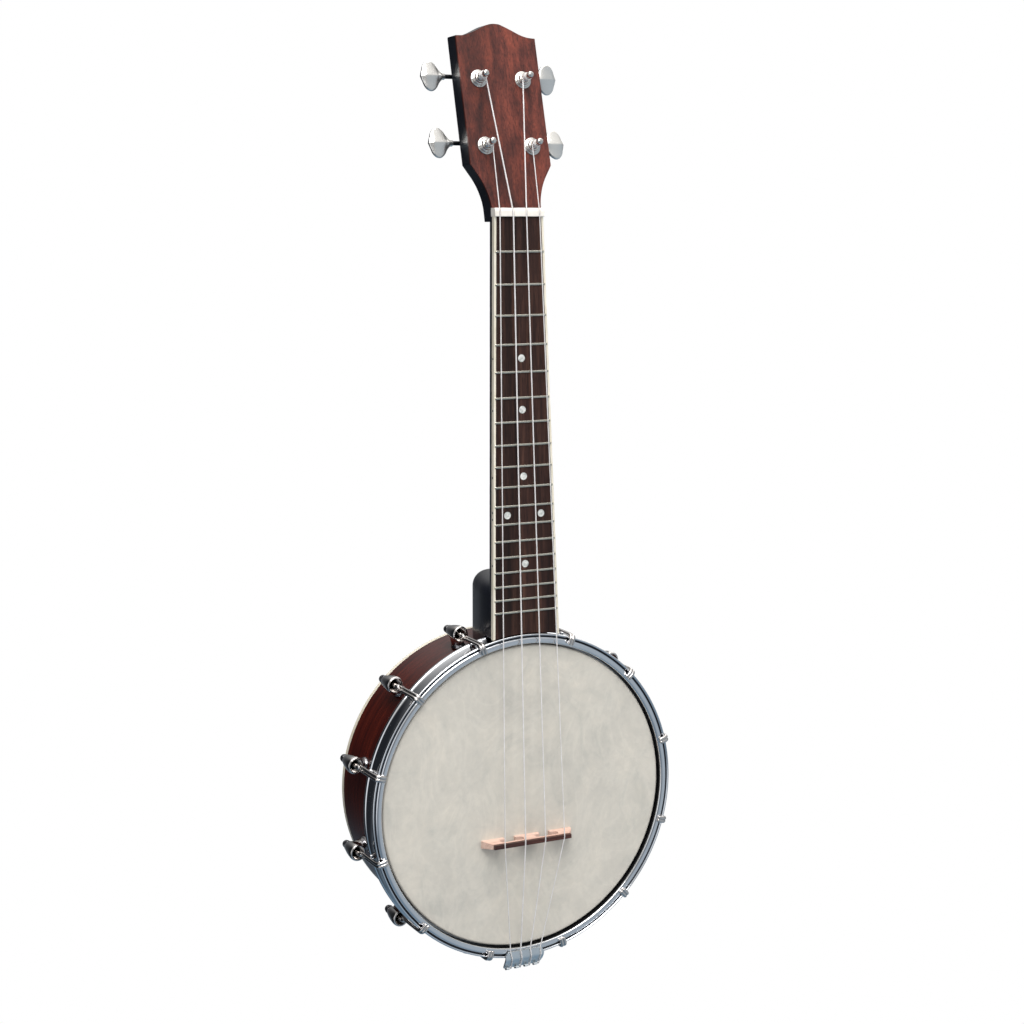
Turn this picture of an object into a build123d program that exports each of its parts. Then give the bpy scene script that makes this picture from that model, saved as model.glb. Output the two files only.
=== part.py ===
from build123d import *
from math import atan2, cos, degrees, hypot, pi, radians, sin, sqrt
import os

os.makedirs("parts", exist_ok=True)

# ---------------------------------------------------------------- dimensions
# Upright instrument: +Z up the neck, -Y towards the player's view, +X right.
# The origin is where a hanger's yoke holds it, under the headstock's flare.

HEAD_Y = -23.0          # plane of the head's face
POT_Z = -397.0          # height of the pot's centre

SCALE = 393.2           # scale that the frets are cut to
BETA = 2.577            # neck's back angle, degrees
TILT = 13.0             # headstock's tilt against the fretboard, degrees
NUT_Y = -12.95          # fretboard's face at the nut
NUT_Z = -17.95

FB_T = 3.1              # fretboard thickness
FB_W0 = 17.5            # half width at the nut
FB_W1 = 24.17           # half width 271 mm below it
BIND_W = 1.5            # binding's width on the face

RIM_R = 101.6           # 8 inch rim
RIM_RI = 92.0
RIM_BACK = 70.5
HOOP_R = 110.0
BRACKET_ANGLES = (17.5, 46.0, 75.7, 106.0, 136.0, 165.3)
HOOK_R = 112.2          # radius of the hooks' rods
BR_Y = 36.0             # depth of the bracket shoes' screws

HS_FACE_DROP = 2.3      # headstock's face below the fretboard's face
OVERLAY_T = 1.5
HS_T = 12.5             # headstock with overlay

POST_X_UP, POST_S_UP = 15.8, 87.2
POST_X_LO, POST_S_LO = 16.6, 43.2
WORM_DS = 6.4           # from post axis to worm axis
WORM_N = -16.3          # worm axis behind the headstock's face
WORM_PITCH = 2.0
TEETH = 14

STRING_R = (0.36, 0.46, 0.41, 0.34)
NUT_X = (-14.15, -4.72, 4.72, 14.15)
BRIDGE_X = 1.2          # bridge stands a little right of centre
BRIDGE_Z = -28.6
BRIDGE_H = 11.0
BRIDGE_STRINGS = (-21.1, -6.05, 8.9, 23.2)
TAIL_X = (-13.0, -5.5, 1.75, 9.4)
TP_X = -1.8             # tailpiece hangs a little left of centre
HOOK_X = (-10.3, -3.5, 3.5, 10.3)

# ------------------------------------------------------------- local frames
sb, cb = sin(radians(BETA)), cos(radians(BETA))
st, ct = sin(radians(BETA + TILT)), cos(radians(BETA + TILT))
s13, c13 = sin(radians(TILT)), cos(radians(TILT))

X_DIR = Vector(1, 0, 0)
NV, NW = Vector(0, sb, cb), Vector(0, -cb, sb)      # up the neck, out of the board
HV, HW = Vector(0, st, ct), Vector(0, -ct, st)      # up the headstock, out of it

NECK = Plane(origin=(0, NUT_Y, NUT_Z), x_dir=X_DIR, z_dir=NW)


def neck_pt(x, v, w):
    return Vector(0, NUT_Y, NUT_Z) + X_DIR * x + NV * v + NW * w


HS_ORIGIN = neck_pt(0, 3.0, -HS_FACE_DROP)
HEADSTOCK = Plane(origin=HS_ORIGIN, x_dir=X_DIR, z_dir=HW)


def hs_pt(x, s, n):
    return HS_ORIGIN + X_DIR * x + HV * s + HW * n


def pot_pt(x, y, z):
    return Vector(x, y + HEAD_Y, z + POT_Z)


def hs_side(x, s, n, sign=1):
    # looks along +X or -X; local x runs up the headstock
    return Plane(origin=hs_pt(x, s, n), x_dir=HV, z_dir=X_DIR * sign)


def neck_side(x, v, w):
    # local x up the neck, local y out of the fretboard, normal +X
    return Plane(origin=neck_pt(x, v, w), x_dir=NV, z_dir=X_DIR)


def pot_side(x):
    # local x = +Y (depth), local y = +Z, normal +X
    return Plane(origin=pot_pt(x, 0, 0), x_dir=(0, 1, 0), z_dir=(1, 0, 0))


POT_PROFILE = Plane(origin=pot_pt(0, 0, 0), x_dir=(1, 0, 0), z_dir=(0, 0, 1))
POT_AXIS = Axis(origin=pot_pt(0, 0, 0), direction=(0, 1, 0))


def pot_round(y):
    # local x right, normal into the pot
    return Plane(origin=pot_pt(0, y, 0), x_dir=(1, 0, 0), z_dir=(0, 1, 0))


def bracket_plane(angle):
    a = radians(angle)
    return Plane(
        origin=pot_pt(0, 0, 0), x_dir=(cos(a), 0, -sin(a)), z_dir=(sin(a), 0, cos(a))
    )


BRACKETS = [bracket_plane(s * a) for a in BRACKET_ANGLES for s in (1, -1)]


def half_width(v):
    return FB_W0 + (FB_W1 - FB_W0) * (-v) / 271.0


def fret_v(n):
    return -SCALE * (1 - 2 ** (-n / 12))


FB_END = -275.0


def save(part, label):
    part.label = label
    export_step(part, f"parts/{label}.step")


# --------------------------------------------------------------- fretboard
DOT_FRETS = ((5, 0), (7, 0), (10, 0), (12, -12.2), (12, 12.2), (15, 0))
SIDE_DOTS = ((5, 0), (7, 0), (10, 0), (12, -2.2), (12, 2.2), (15, 0))


def between(n):
    return (fret_v(n - 1) + fret_v(n)) / 2


with BuildPart() as fretboard:
    with BuildSketch(NECK.offset(-FB_T)):
        with BuildLine():
            wi0, wi1 = half_width(0) - BIND_W, half_width(FB_END) - BIND_W
            Polyline((-wi0, 0), (wi0, 0), (wi1, FB_END), (-wi1, FB_END), close=True)
        make_face()
    extrude(amount=FB_T)
    with BuildSketch(pot_round(-10)):
        Circle(HOOP_R + 0.6)
    extrude(amount=40, mode=Mode.SUBTRACT)
    for n in range(1, 19):
        with BuildSketch(neck_side(-30, fret_v(n), 0)):
            with Locations((0, -0.9)):
                Rectangle(0.6, 2.0)
        extrude(amount=60, mode=Mode.SUBTRACT)
    for n, x in DOT_FRETS:
        with BuildSketch(Plane(origin=neck_pt(x, between(n), 0.5), x_dir=X_DIR, z_dir=NW)):
            Circle(2.4)
        extrude(amount=-1.7, mode=Mode.SUBTRACT)
save(fretboard.part, "fretboard")

with BuildPart() as fretboard_binding:
    with BuildSketch(NECK.offset(-FB_T)):
        for s in (-1, 1):
            with BuildLine():
                a0, a1 = half_width(0), half_width(FB_END)
                Polyline(
                    (s * (a0 - BIND_W), 0),
                    (s * a0, 0),
                    (s * a1, FB_END),
                    (s * (a1 - BIND_W), FB_END),
                    close=True,
                )
            make_face()
    extrude(amount=FB_T)
    with BuildSketch(pot_round(-10)):
        Circle(HOOP_R + 0.6)
    extrude(amount=40, mode=Mode.SUBTRACT)
    for n, dv in SIDE_DOTS:
        v = between(n) + dv
        with BuildSketch(neck_side(-half_width(v) - 1, v, -FB_T / 2)):
            Circle(0.7)
        extrude(amount=1.6, mode=Mode.SUBTRACT)
save(fretboard_binding.part, "fretboard_binding")

with BuildPart() as side_dots:
    for n, dv in SIDE_DOTS:
        v = between(n) + dv
        with BuildSketch(neck_side(-half_width(v) - 0.02, v, -FB_T / 2)):
            Circle(0.7)
        extrude(amount=0.62)
save(side_dots.part, "side_dots")

with BuildPart() as position_dots:
    for n, x in DOT_FRETS:
        with BuildSketch(Plane(origin=neck_pt(x, between(n), -1.2), x_dir=X_DIR, z_dir=NW)):
            Circle(2.4)
        extrude(amount=1.2)
save(position_dots.part, "position_dots")

with BuildPart() as frets:
    for n in range(1, 19):
        v = fret_v(n)
        w = half_width(v) - 0.75
        wi = half_width(v) - BIND_W - 0.3
        with BuildSketch(neck_side(-w, v, 0)):
            with BuildLine():
                Line((-0.8, 0), (0.8, 0))
                ThreePointArc((0.8, 0), (0, 0.78), (-0.8, 0))
            make_face()
        extrude(amount=2 * w)
        with BuildSketch(neck_side(-wi, v, 0)):
            with Locations((0, -0.75)):
                Rectangle(0.56, 1.7)
        extrude(amount=2 * wi)
save(frets.part, "frets")

# --------------------------------------------------------------------- nut
NUT_L = 5.5
NUT_TOP = 1.7
NUT_D = 4.4             # its foot below the fretboard's face
with BuildPart() as nut:
    with BuildSketch(neck_side(-FB_W0 - 0.1, 0, 0)):
        with BuildLine():
            Polyline(
                (0.02, -NUT_D), (0.02, 1.5), (0.35, NUT_TOP), (3.6, NUT_TOP),
                (5.1, 1.15), (NUT_L, 0.6), (NUT_L, -NUT_D), close=True,
            )
        make_face()
    extrude(amount=2 * FB_W0 + 0.2)
    for x, r in zip(NUT_X, STRING_R):
        w = r + 0.3
        with BuildSketch(neck_side(x - w, 0, 0)):
            with BuildLine():
                Polyline(
                    (-1, 1.12), (2.6, 1.12), (NUT_L + 1.5, 1.12 - 1.25),
                    (NUT_L + 1.5, 4), (-1, 4), close=True,
                )
            make_face()
        extrude(amount=2 * w, mode=Mode.SUBTRACT)
save(nut.part, "nut")

# -------------------------------------------------- headstock and neck wood
HALF = (
    (17.6, -6.0), (17.5, 1.9), (18.05, 7.8), (19.15, 12.4), (20.7, 17.0),
    (22.9, 21.6), (25.8, 26.3), (28.6, 30.8),
)
CREST = ((28.3, 115.4), (20.8, 116.3), (16.0, 118.1), (10.1, 121.0), (4.6, 123.4), (0, 124.1))


def headstock_outline():
    r = [Vector(*p) for p in HALF]
    left = [Vector(-p[0], p[1]) for p in HALF]
    Spline(*r, tangents=[(0, 1), (0.62, 1)])
    Line(r[-1], CREST[0])
    Spline(*CREST, tangents=[(-1, 0.02), (-1, 0)])
    Spline(*[(-x, y) for x, y in reversed(CREST)], tangents=[(-1, 0), (-1, -0.02)])
    Line((-CREST[0][0], CREST[0][1]), left[-1])
    Spline(*left, tangents=[(0, 1), (-0.62, 1)])
    Line(left[0], r[0])


TUNERS = (
    ("upper_left", -1, POST_X_UP, POST_S_UP, 0.0),
    ("lower_left", -1, POST_X_LO, POST_S_LO, 0.0),
    ("upper_right", 1, POST_X_UP, POST_S_UP, 10.0),
    ("lower_right", 1, POST_X_LO, POST_S_LO, -5.0),
)
BUSH_R = 4.2

with BuildPart() as headstock_overlay:
    # its edges stand square to the fretboard, not to the tilted face
    with BuildSketch(HEADSTOCK):
        with BuildLine():
            headstock_outline()
        make_face()
    extrude(amount=OVERLAY_T / c13, dir=-NW)
    # bottom edge butts against the nut
    with BuildSketch(neck_side(-30, 0, 0)):
        with Locations((-20 + NUT_L, 0)):
            Rectangle(40, 40)
    extrude(amount=60, mode=Mode.SUBTRACT)
    for name, side, px, ps, turn in TUNERS:
        with BuildSketch(Plane(origin=hs_pt(side * px, ps, 1), x_dir=X_DIR, z_dir=HW)):
            Circle(BUSH_R)
        extrude(amount=-4, mode=Mode.SUBTRACT)
save(headstock_overlay.part, "headstock_overlay")

NECK_D0, NECK_D1 = 13.5, 15.0
HEEL_TOP = 145.5
HEEL_BACK = 56.0


def neck_section(v, w, d):
    # flat at the fretboard, rounded behind; local y points to the back
    return Plane(origin=neck_pt(0, v, -FB_T), x_dir=X_DIR, z_dir=NV), w, d


with BuildPart() as headstock_core:
    with BuildSketch(Plane(origin=HS_ORIGIN - NW * (OVERLAY_T / c13), x_dir=X_DIR, z_dir=HW)):
        with BuildLine():
            headstock_outline()
        make_face()
    extrude(amount=(HS_T - OVERLAY_T) / c13, dir=-NW)
    fillet(headstock_core.faces().sort_by(Axis((0, 0, 0), HW))[0].edges().group_by(Axis((0, 0, 0), HV))[-1], 1.0)

with BuildPart() as neck:
    # shaft from the heel to the nut, then the volute behind the nut
    for v, w, d in ((-250.0, 23.3, 15.6), (0.0, FB_W0, NECK_D0)):
        with BuildSketch(neck_section(v, w, d)[0]):
            with BuildLine():
                Line((-w, 0), (w, 0))
                Line((w, 0), (w, 1.2))
                EllipticalCenterArc((0, 1.2), w, d - 1.2, start_angle=0, arc_size=180)
                Line((-w, 1.2), (-w, 0))
            make_face()
    loft()
    for v, w, d in ((0.0, FB_W0, NECK_D0), (26.0, 17.3, 12.4)):
        with BuildSketch(neck_section(v, w, d)[0]):
            with BuildLine():
                Line((-w, 0), (w, 0))
                Line((w, 0), (w, 1.2))
                EllipticalCenterArc((0, 1.2), w, d - 1.2, start_angle=0, arc_size=180)
                Line((-w, 1.2), (-w, 0))
            make_face()
    loft()
    add(headstock_core.part)
    # nothing of the core stands in front of the overlay's back face
    with BuildSketch(HEADSTOCK.offset(-OVERLAY_T)):
        with Locations((0, 72)):
            Rectangle(80, 150)
    extrude(amount=20, mode=Mode.SUBTRACT)
    # slot for the nut's foot
    with BuildSketch(neck_side(-30, 0, -NUT_D)):
        with Locations((NUT_L / 2, 10)):
            Rectangle(NUT_L, 20)
    extrude(amount=60, mode=Mode.SUBTRACT)

HEEL = (
    (23.35, -2.0), (23.4, 6.0), (23.0, 14.0), (21.6, 24.0), (19.3, 34.0),
    (16.4, 44.4), (12.4, 51.6), (6.6, 55.2), (0, HEEL_BACK),
)
with BuildPart() as heel:
    with BuildSketch(Plane(origin=pot_pt(0, 0, 92), x_dir=(1, 0, 0), z_dir=(0, 0, 1))):
        with BuildLine():
            pts = list(HEEL) + [(-x, y) for x, y in reversed(HEEL[:-1])]
            Spline(*pts, tangents=[(0, 1), (0, -1)])
            Line((-HEEL[0][0], HEEL[0][1]), HEEL[0])
        make_face()
    extrude(amount=HEEL_TOP - 92)
    top = heel.faces().sort_by(Axis.Z)[-1]
    fillet(top.edges().sort_by(Axis.Y)[1:], 10.5)

with BuildPart() as neck_all:
    add(neck.part)
    add(heel.part)
    with BuildSketch(neck_side(-30, 0, -FB_T)):
        with Locations((-150, 10)):
            Rectangle(300, 20)
    extrude(amount=60, mode=Mode.SUBTRACT)
    # clears the tension hoop, then meets the rim
    with BuildSketch(pot_round(-30)):
        Circle(HOOP_R + 0.6)
    extrude(amount=30 + 13.8, mode=Mode.SUBTRACT)
    with BuildSketch(pot_round(-30)):
        Circle(RIM_R)
    extrude(amount=140, mode=Mode.SUBTRACT)
    # stud hole in the heel
    with BuildSketch(Plane(origin=pot_pt(0, 38, 90), x_dir=(1, 0, 0), z_dir=(0, 0, 1))):
        Circle(3.0)
    extrude(amount=45, mode=Mode.SUBTRACT)
    for name, side, px, ps, turn in TUNERS:
        with BuildSketch(Plane(origin=hs_pt(side * px, ps, 1), x_dir=X_DIR, z_dir=HW)):
            Circle(BUSH_R)
        extrude(amount=-30, mode=Mode.SUBTRACT)
        for ds in (-7.7, 12.2):
            with BuildSketch(
                Plane(origin=hs_pt(side * px, ps + ds, -HS_T - 1), x_dir=X_DIR, z_dir=HW)
            ):
                Circle(1.05)
            extrude(amount=8, mode=Mode.SUBTRACT)
save(neck_all.part, "neck")

# ---------------------------------------------------------- tuning machines
PLATE_T = 1.0
TAB_IN, TAB_T = 3.9, 1.1
SHAFT_R = 1.4
CLEAR = 0.05

with BuildPart() as tuner_plates:
    for name, side, px, ps, turn in TUNERS:
        x0 = side * px
        with BuildSketch(
            Plane(origin=hs_pt(x0, ps + 2.2, -HS_T - PLATE_T), x_dir=X_DIR, z_dir=HW)
        ):
            RectangleRounded(13.0, 26.5, 4.0)
        extrude(amount=PLATE_T)
        for k in (-1, 1):
            xa = x0 + k * (TAB_IN + TAB_T / 2)
            with BuildSketch(hs_side(xa - TAB_T / 2, ps + WORM_DS, WORM_N)):
                Circle(2.6)
                with Locations((0, 1.65)):
                    Rectangle(5.2, 3.3)
            extrude(amount=TAB_T)
        with BuildSketch(hs_side(x0 - 8, ps + WORM_DS, WORM_N)):
            Circle(SHAFT_R + CLEAR)
        extrude(amount=16, mode=Mode.SUBTRACT)
        with BuildSketch(Plane(origin=hs_pt(x0, ps, -HS_T + 1), x_dir=X_DIR, z_dir=HW)):
            Circle(2.5 + CLEAR)
        extrude(amount=-4, mode=Mode.SUBTRACT)
        for ds in (-7.7, 12.2):
            with BuildSketch(Plane(origin=hs_pt(x0, ps + ds, -HS_T + 1), x_dir=X_DIR, z_dir=HW)):
                Circle(1.25)
            extrude(amount=-4, mode=Mode.SUBTRACT)
save(tuner_plates.part, "tuner_plates")

with BuildPart() as tuner_plate_screws:
    for name, side, px, ps, turn in TUNERS:
        for ds in (-7.7, 12.2):
            base = Plane(
                origin=hs_pt(side * px, ps + ds, -HS_T - PLATE_T), x_dir=X_DIR, z_dir=-HW
            )
            with BuildSketch(base):
                Circle(2.0)
            extrude(amount=1.1, taper=18)
            with BuildSketch(base):
                Circle(1.05)
            extrude(amount=-6.5)
            with BuildSketch(base.offset(0.6)):
                Rectangle(4.6, 0.5)
            extrude(amount=1.0, mode=Mode.SUBTRACT)
save(tuner_plate_screws.part, "tuner_plate_screws")


def hs_profile(x, s):
    # half section of a piece turned about the post's axis: (radius, n)
    return Plane(origin=hs_pt(x, s, 0), x_dir=X_DIR, z_dir=-HV)


def post_axis(x, s):
    return Axis(origin=hs_pt(x, s, 0), direction=HW)


with BuildPart() as tuner_washers:
    for name, side, px, ps, turn in TUNERS:
        with BuildSketch(hs_profile(side * px, ps)):
            with BuildLine():
                Polyline(
                    (BUSH_R + 0.05, 0), (5.8, 0), (5.8, 0.5), (5.4, 0.9),
                    (BUSH_R + 0.05, 0.9), close=True,
                )
            make_face()
        revolve(axis=post_axis(side * px, ps))
save(tuner_washers.part, "tuner_washers")

with BuildPart() as tuner_bushings:
    for name, side, px, ps, turn in TUNERS:
        with BuildSketch(hs_profile(side * px, ps)):
            with BuildLine():
                Polyline(
                    (2.5 + CLEAR, -12.0), (BUSH_R, -12.0), (BUSH_R, 0.9), (4.75, 0.9),
                    (4.75, 1.5), (4.3, 1.9), (3.7, 2.0), (3.5, 2.9), (3.1, 3.25),
                    (2.5 + CLEAR, 3.25), close=True,
                )
            make_face()
        revolve(axis=post_axis(side * px, ps))
save(tuner_bushings.part, "tuner_bushings")

# wheel tooth: half angles at root, pitch and tip
WHEEL_ROOT, WHEEL_TIP = 3.7, 4.9
WHEEL_T = 2.6
TIP_H, ROOT_H = 0.25 / WHEEL_TIP, 0.50 / WHEEL_ROOT
FOOT_N = WORM_N - WHEEL_T / 2


def wheel_points():
    pts = []
    for k in range(TEETH):
        a = pi / 2 + 2 * pi * k / TEETH
        for r, da in ((WHEEL_ROOT, -ROOT_H), (WHEEL_TIP, -TIP_H), (WHEEL_TIP, TIP_H), (WHEEL_ROOT, ROOT_H)):
            pts.append((r * cos(a + da), r * sin(a + da)))
    return pts


WORM_CORE, WORM_TIP = 1.35, 2.55
THREAD_L = 5.0
with BuildPart() as thread_one:
    # right-hand thread about local Z
    with BuildLine(Plane.XY.offset(-THREAD_L / 2)) as thread_path:
        Helix(pitch=WORM_PITCH, height=THREAD_L, radius=WORM_CORE)
    with BuildSketch(
        Plane(origin=thread_path.line @ 0, x_dir=(1, 0, 0), z_dir=thread_path.line % 0)
    ):
        with BuildLine():
            depth = WORM_TIP - WORM_CORE
            Polyline(
                (-0.25, -0.5), (0.0, -0.47), (depth, -0.24),
                (depth, 0.24), (0.0, 0.47), (-0.25, 0.5), close=True,
            )
        make_face()
    sweep(path=thread_path.line, is_frenet=True)

for index, (name, side, px, ps, turn) in enumerate(TUNERS):
    x0 = side * px
    with BuildPart() as string_post:
        with BuildSketch(hs_profile(x0, ps)):
            with BuildLine():
                Polyline(
                    (0, 12.8), (0, FOOT_N + 4.6), (1.0, FOOT_N + 4.6), (1.0, FOOT_N), (2.0, FOOT_N),
                    (2.0, FOOT_N + WHEEL_T), (2.5, FOOT_N + WHEEL_T), (2.5, 3.6), (2.3, 4.0), (1.75, 4.6),
                    (1.75, 8.8), (2.1, 9.4), (2.2, 10.0), (2.2, 10.6),
                )
                CenterArc((0, 10.6), 2.2, start_angle=0, arc_size=90)
            make_face()
        revolve(axis=post_axis(x0, ps))
        # hole for the string
        with BuildSketch(hs_side(x0 - 4, ps, 7.0)):
            Circle(0.7)
        extrude(amount=8, mode=Mode.SUBTRACT)
    save(string_post.part, f"string_post_{name}")

    with BuildPart() as worm_wheel:
        with BuildSketch(
            Plane(origin=hs_pt(x0, ps, FOOT_N), x_dir=X_DIR, z_dir=HW)
        ):
            with BuildLine():
                Polyline(*wheel_points(), close=True)
            make_face()
            Circle(2.0, mode=Mode.SUBTRACT)
        extrude(amount=WHEEL_T)
    save(worm_wheel.part, f"worm_wheel_{name}")

    with BuildPart() as gear_screw:
        with BuildSketch(Plane(origin=hs_pt(x0, ps, FOOT_N), x_dir=X_DIR, z_dir=-HW)):
            Circle(2.9)
        extrude(amount=1.3, taper=12)
        with BuildSketch(Plane(origin=hs_pt(x0, ps, FOOT_N), x_dir=X_DIR, z_dir=HW)):
            Circle(1.0)
        extrude(amount=4.6)
        with BuildSketch(Plane(origin=hs_pt(x0, ps, FOOT_N - 0.8), x_dir=X_DIR, z_dir=-HW)):
            Rectangle(0.7, 7)
        extrude(amount=1.2, mode=Mode.SUBTRACT)
    save(gear_screw.part, f"gear_screw_{name}")

    with BuildPart() as worm_shaft:
        ws = hs_pt(x0, ps + WORM_DS, WORM_N)
        inner = -(TAB_IN + TAB_T + 1.5)
        outer = side * (33.4) - x0
        # plain shaft from the inner tab to the button
        x_from, x_to = (side * inner, outer)
        with BuildSketch(
            Plane(origin=ws + X_DIR * x_from, x_dir=HV, z_dir=X_DIR * side)
        ):
            Circle(SHAFT_R)
        extrude(amount=abs(x_to - x_from))
        # retaining collar outside the inner tab
        with BuildSketch(
            Plane(origin=ws + X_DIR * (side * inner), x_dir=HV, z_dir=X_DIR * side)
        ):
            Circle(2.2)
        extrude(amount=1.2)
        # journals keep the worm between the tabs
        for k in (-1, 1):
            with BuildSketch(
                Plane(origin=ws + X_DIR * (k * (TAB_IN - 0.25)), x_dir=HV, z_dir=-X_DIR * k)
            ):
                Circle(2.1)
            extrude(amount=0.5)
        # a gap of the thread faces the wheel at the middle
        with Locations(Plane(origin=ws, x_dir=-HW, z_dir=X_DIR)):
            add(thread_one.part)
    save(worm_shaft.part, f"worm_shaft_{name}")

    with BuildPart() as tuning_button:
        # winged button, thick at its middle and thin at the wings
        tb = radians(turn)
        wing = HV * cos(tb) + HW * sin(tb)
        flat = HW * cos(tb) - HV * sin(tb)
        bo = hs_pt(0, ps + WORM_DS, WORM_N)
        with BuildSketch(Plane(origin=bo - flat * 2.9, x_dir=X_DIR * side, z_dir=flat * side)):
            with BuildLine():
                half = (
                    (32.2, 2.1), (34.0, 2.4), (36.2, 4.6), (38.4, 8.0), (41.2, 9.9),
                    (44.2, 9.4), (46.4, 6.9), (47.4, 4.2), (48.0, 2.8), (48.7, 0.0),
                )
                Spline(*[(a, b) for a, b in half], tangents=[(1, 0), (0, -1)])
                Spline(*[(a, -b) for a, b in half], tangents=[(1, 0), (0, 1)])
                Line((32.2, 2.1), (32.2, -2.1))
            make_face()
        extrude(amount=5.8 * side)
        # bevels: side view of the button seen along its shaft
        with BuildSketch(Plane(origin=bo + X_DIR * (side * 30), x_dir=wing, z_dir=X_DIR * side)):
            Rectangle(30, 12)
            with BuildLine():
                Polyline(
                    (-11, -0.9), (-3.2, -2.6), (0, -2.9), (3.2, -2.6), (11, -0.9),
                    (11, 0.9), (3.2, 2.6), (0, 2.9), (-3.2, 2.6), (-11, 0.9), close=True,
                )
            make_face(mode=Mode.SUBTRACT)
        extrude(amount=25, mode=Mode.SUBTRACT)
        with BuildSketch(
            Plane(origin=hs_pt(side * 30, ps + WORM_DS, WORM_N), x_dir=HV, z_dir=X_DIR * side)
        ):
            Circle(SHAFT_R)
        extrude(amount=3.4, mode=Mode.SUBTRACT)
    save(tuning_button.part, f"tuning_button_{name}")

# ------------------------------------------------------------------ strings
# string 1..4 from left to right; which post each one runs to
ROUTES = ((1, NUT_X[0]), (0, NUT_X[1]), (2, NUT_X[2]), (3, NUT_X[3]))
WRAP_N = 5.2


def plate_line():
    # front surface of the tailpiece, (depth, height) in the pot's frame
    return ((-4.4, -103.4), (-4.4, -109.5), (0.3, -116.8))


for i, (tuner, nx) in enumerate(ROUTES):
    name, side, px, ps, turn = TUNERS[tuner]
    r = STRING_R[i]
    crest = neck_pt(nx, 2.6, 1.15 + r)
    rel = crest - HS_ORIGIN
    cx, cs = rel.X, rel.dot(HV)
    # tangent to the turns on the post's waist, on its inner side
    rt = 1.75 + 0.3 + r
    dx, ds = cx - side * px, cs - ps
    dist = hypot(dx, ds)
    base = atan2(ds, dx)
    off = (1 if side < 0 else -1) * atan2(sqrt(dist * dist - rt * rt), rt)
    tx, ts = side * px + rt * cos(base + off), ps + rt * sin(base + off)
    start = hs_pt(tx, ts, WRAP_N)
    over = Vector(0, -0.6 - r, 0) * 1.0
    bridge = pot_pt(BRIDGE_X + BRIDGE_STRINGS[i], -(BRIDGE_H - 0.35) - r, BRIDGE_Z)
    p3 = pot_pt(TAIL_X[i], -4.4 - 0.75 - r, -103.9)
    p4 = pot_pt((TAIL_X[i] + HOOK_X[i]) / 2, -4.4 - 0.95 - r, -109.5)
    p5 = pot_pt(HOOK_X[i], 0.1 - 0.65 - r, -117.4 - r)
    p6 = pot_pt(HOOK_X[i], 3.3, -116.4 - r)
    pts = [start, crest, bridge, p3, p4, p5, p6]
    with BuildPart() as string:
        with BuildLine() as route:
            FilletPolyline(*pts, radius=[3.0, 2.5, 2.0, 3.0, 0.9])
        with BuildSketch(Plane(origin=pts[0], z_dir=(pts[1] - pts[0]).normalized())):
            Circle(r)
        sweep(path=route.wires()[0], transition=Transition.ROUND)
        with BuildSketch(Plane(origin=p6, x_dir=(1, 0, 0), z_dir=(0, 0, 1))):
            with BuildLine():
                ThreePointArc((0, -1.1), (1.1, 0), (0, 1.1))
                Line((0, 1.1), (0, -1.1))
            make_face()
        revolve(axis=Axis(origin=p6, direction=(0, 1, 0)))
    save(string.part, f"string_{i + 1}")
    print("string", i + 1, "length", round(route.wires()[0].length, 1),
          "volume ratio", round(string.part.volume / (pi * r * r * route.wires()[0].length), 3))

    with BuildPart() as string_wrap:
        for k in range(3):
            with BuildSketch(hs_profile(side * px, ps)):
                with Locations((1.75 + r + 0.02, WRAP_N + 0.35 + 2 * r + k * 2 * r)):
                    Circle(r)
            revolve(axis=post_axis(side * px, ps))
    save(string_wrap.part, f"string_wrap_{name}")

# ---------------------------------------------------------------------- pot
with BuildPart() as rim:
    with BuildSketch(POT_PROFILE):
        with BuildLine():
            Polyline(
                (RIM_RI, 3.0), (RIM_RI, RIM_BACK - 0.8), (RIM_RI + 0.8, RIM_BACK),
                (RIM_R - 1.5, RIM_BACK), (RIM_R - 1.5, RIM_BACK - 4.0),
                (RIM_R, RIM_BACK - 4.0), (RIM_R, 2.6),
            )
            ThreePointArc((RIM_R, 2.6), (RIM_R - 0.4, 1.1), (RIM_R - 1.4, 0.45))
            Line((RIM_R - 1.4, 0.45), (RIM_RI, 3.0))
        make_face()
    revolve(axis=POT_AXIS)
    for plane in BRACKETS:
        with BuildSketch(Plane(origin=plane.from_local_coords(Vector(0, BR_Y, 88)), x_dir=plane.x_dir, z_dir=plane.z_dir)):
            Circle(2.1)
        extrude(amount=20, mode=Mode.SUBTRACT)
    with BuildSketch(Plane(origin=pot_pt(0, 38, -110), x_dir=(1, 0, 0), z_dir=(0, 0, 1))):
        Circle(3.2)
    extrude(amount=220, mode=Mode.SUBTRACT)
save(rim.part, "rim")

with BuildPart() as rim_binding:
    with BuildSketch(POT_PROFILE):
        with BuildLine():
            Polyline(
                (RIM_R - 1.5, RIM_BACK - 4.0), (RIM_R, RIM_BACK - 4.0),
                (RIM_R, RIM_BACK - 0.6), (RIM_R - 0.6, RIM_BACK), (RIM_R - 1.5, RIM_BACK), close=True,
            )
        make_face()
    revolve(axis=POT_AXIS)
save(rim_binding.part, "rim_binding")

SKIN = 0.35
with BuildPart() as drumhead:
    with BuildSketch(POT_PROFILE):
        with BuildLine():
            Polyline((0, SKIN), (0, 0), (RIM_R - 1.1, 0))
            ThreePointArc((RIM_R - 1.1, 0), (RIM_R + 0.14, 0.51), (RIM_R + 0.65, 1.75))
            Polyline((RIM_R + 0.65, 1.75), (RIM_R + 0.65, 10.2), (RIM_R + 0.3, 10.2), (RIM_R + 0.3, 1.75))
            ThreePointArc((RIM_R + 0.3, 1.75), (RIM_R - 0.11, 0.76), (RIM_R - 1.1, SKIN))
            Line((RIM_R - 1.1, SKIN), (0, SKIN))
        make_face()
    revolve(axis=POT_AXIS)
save(drumhead.part, "drumhead")

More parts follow.
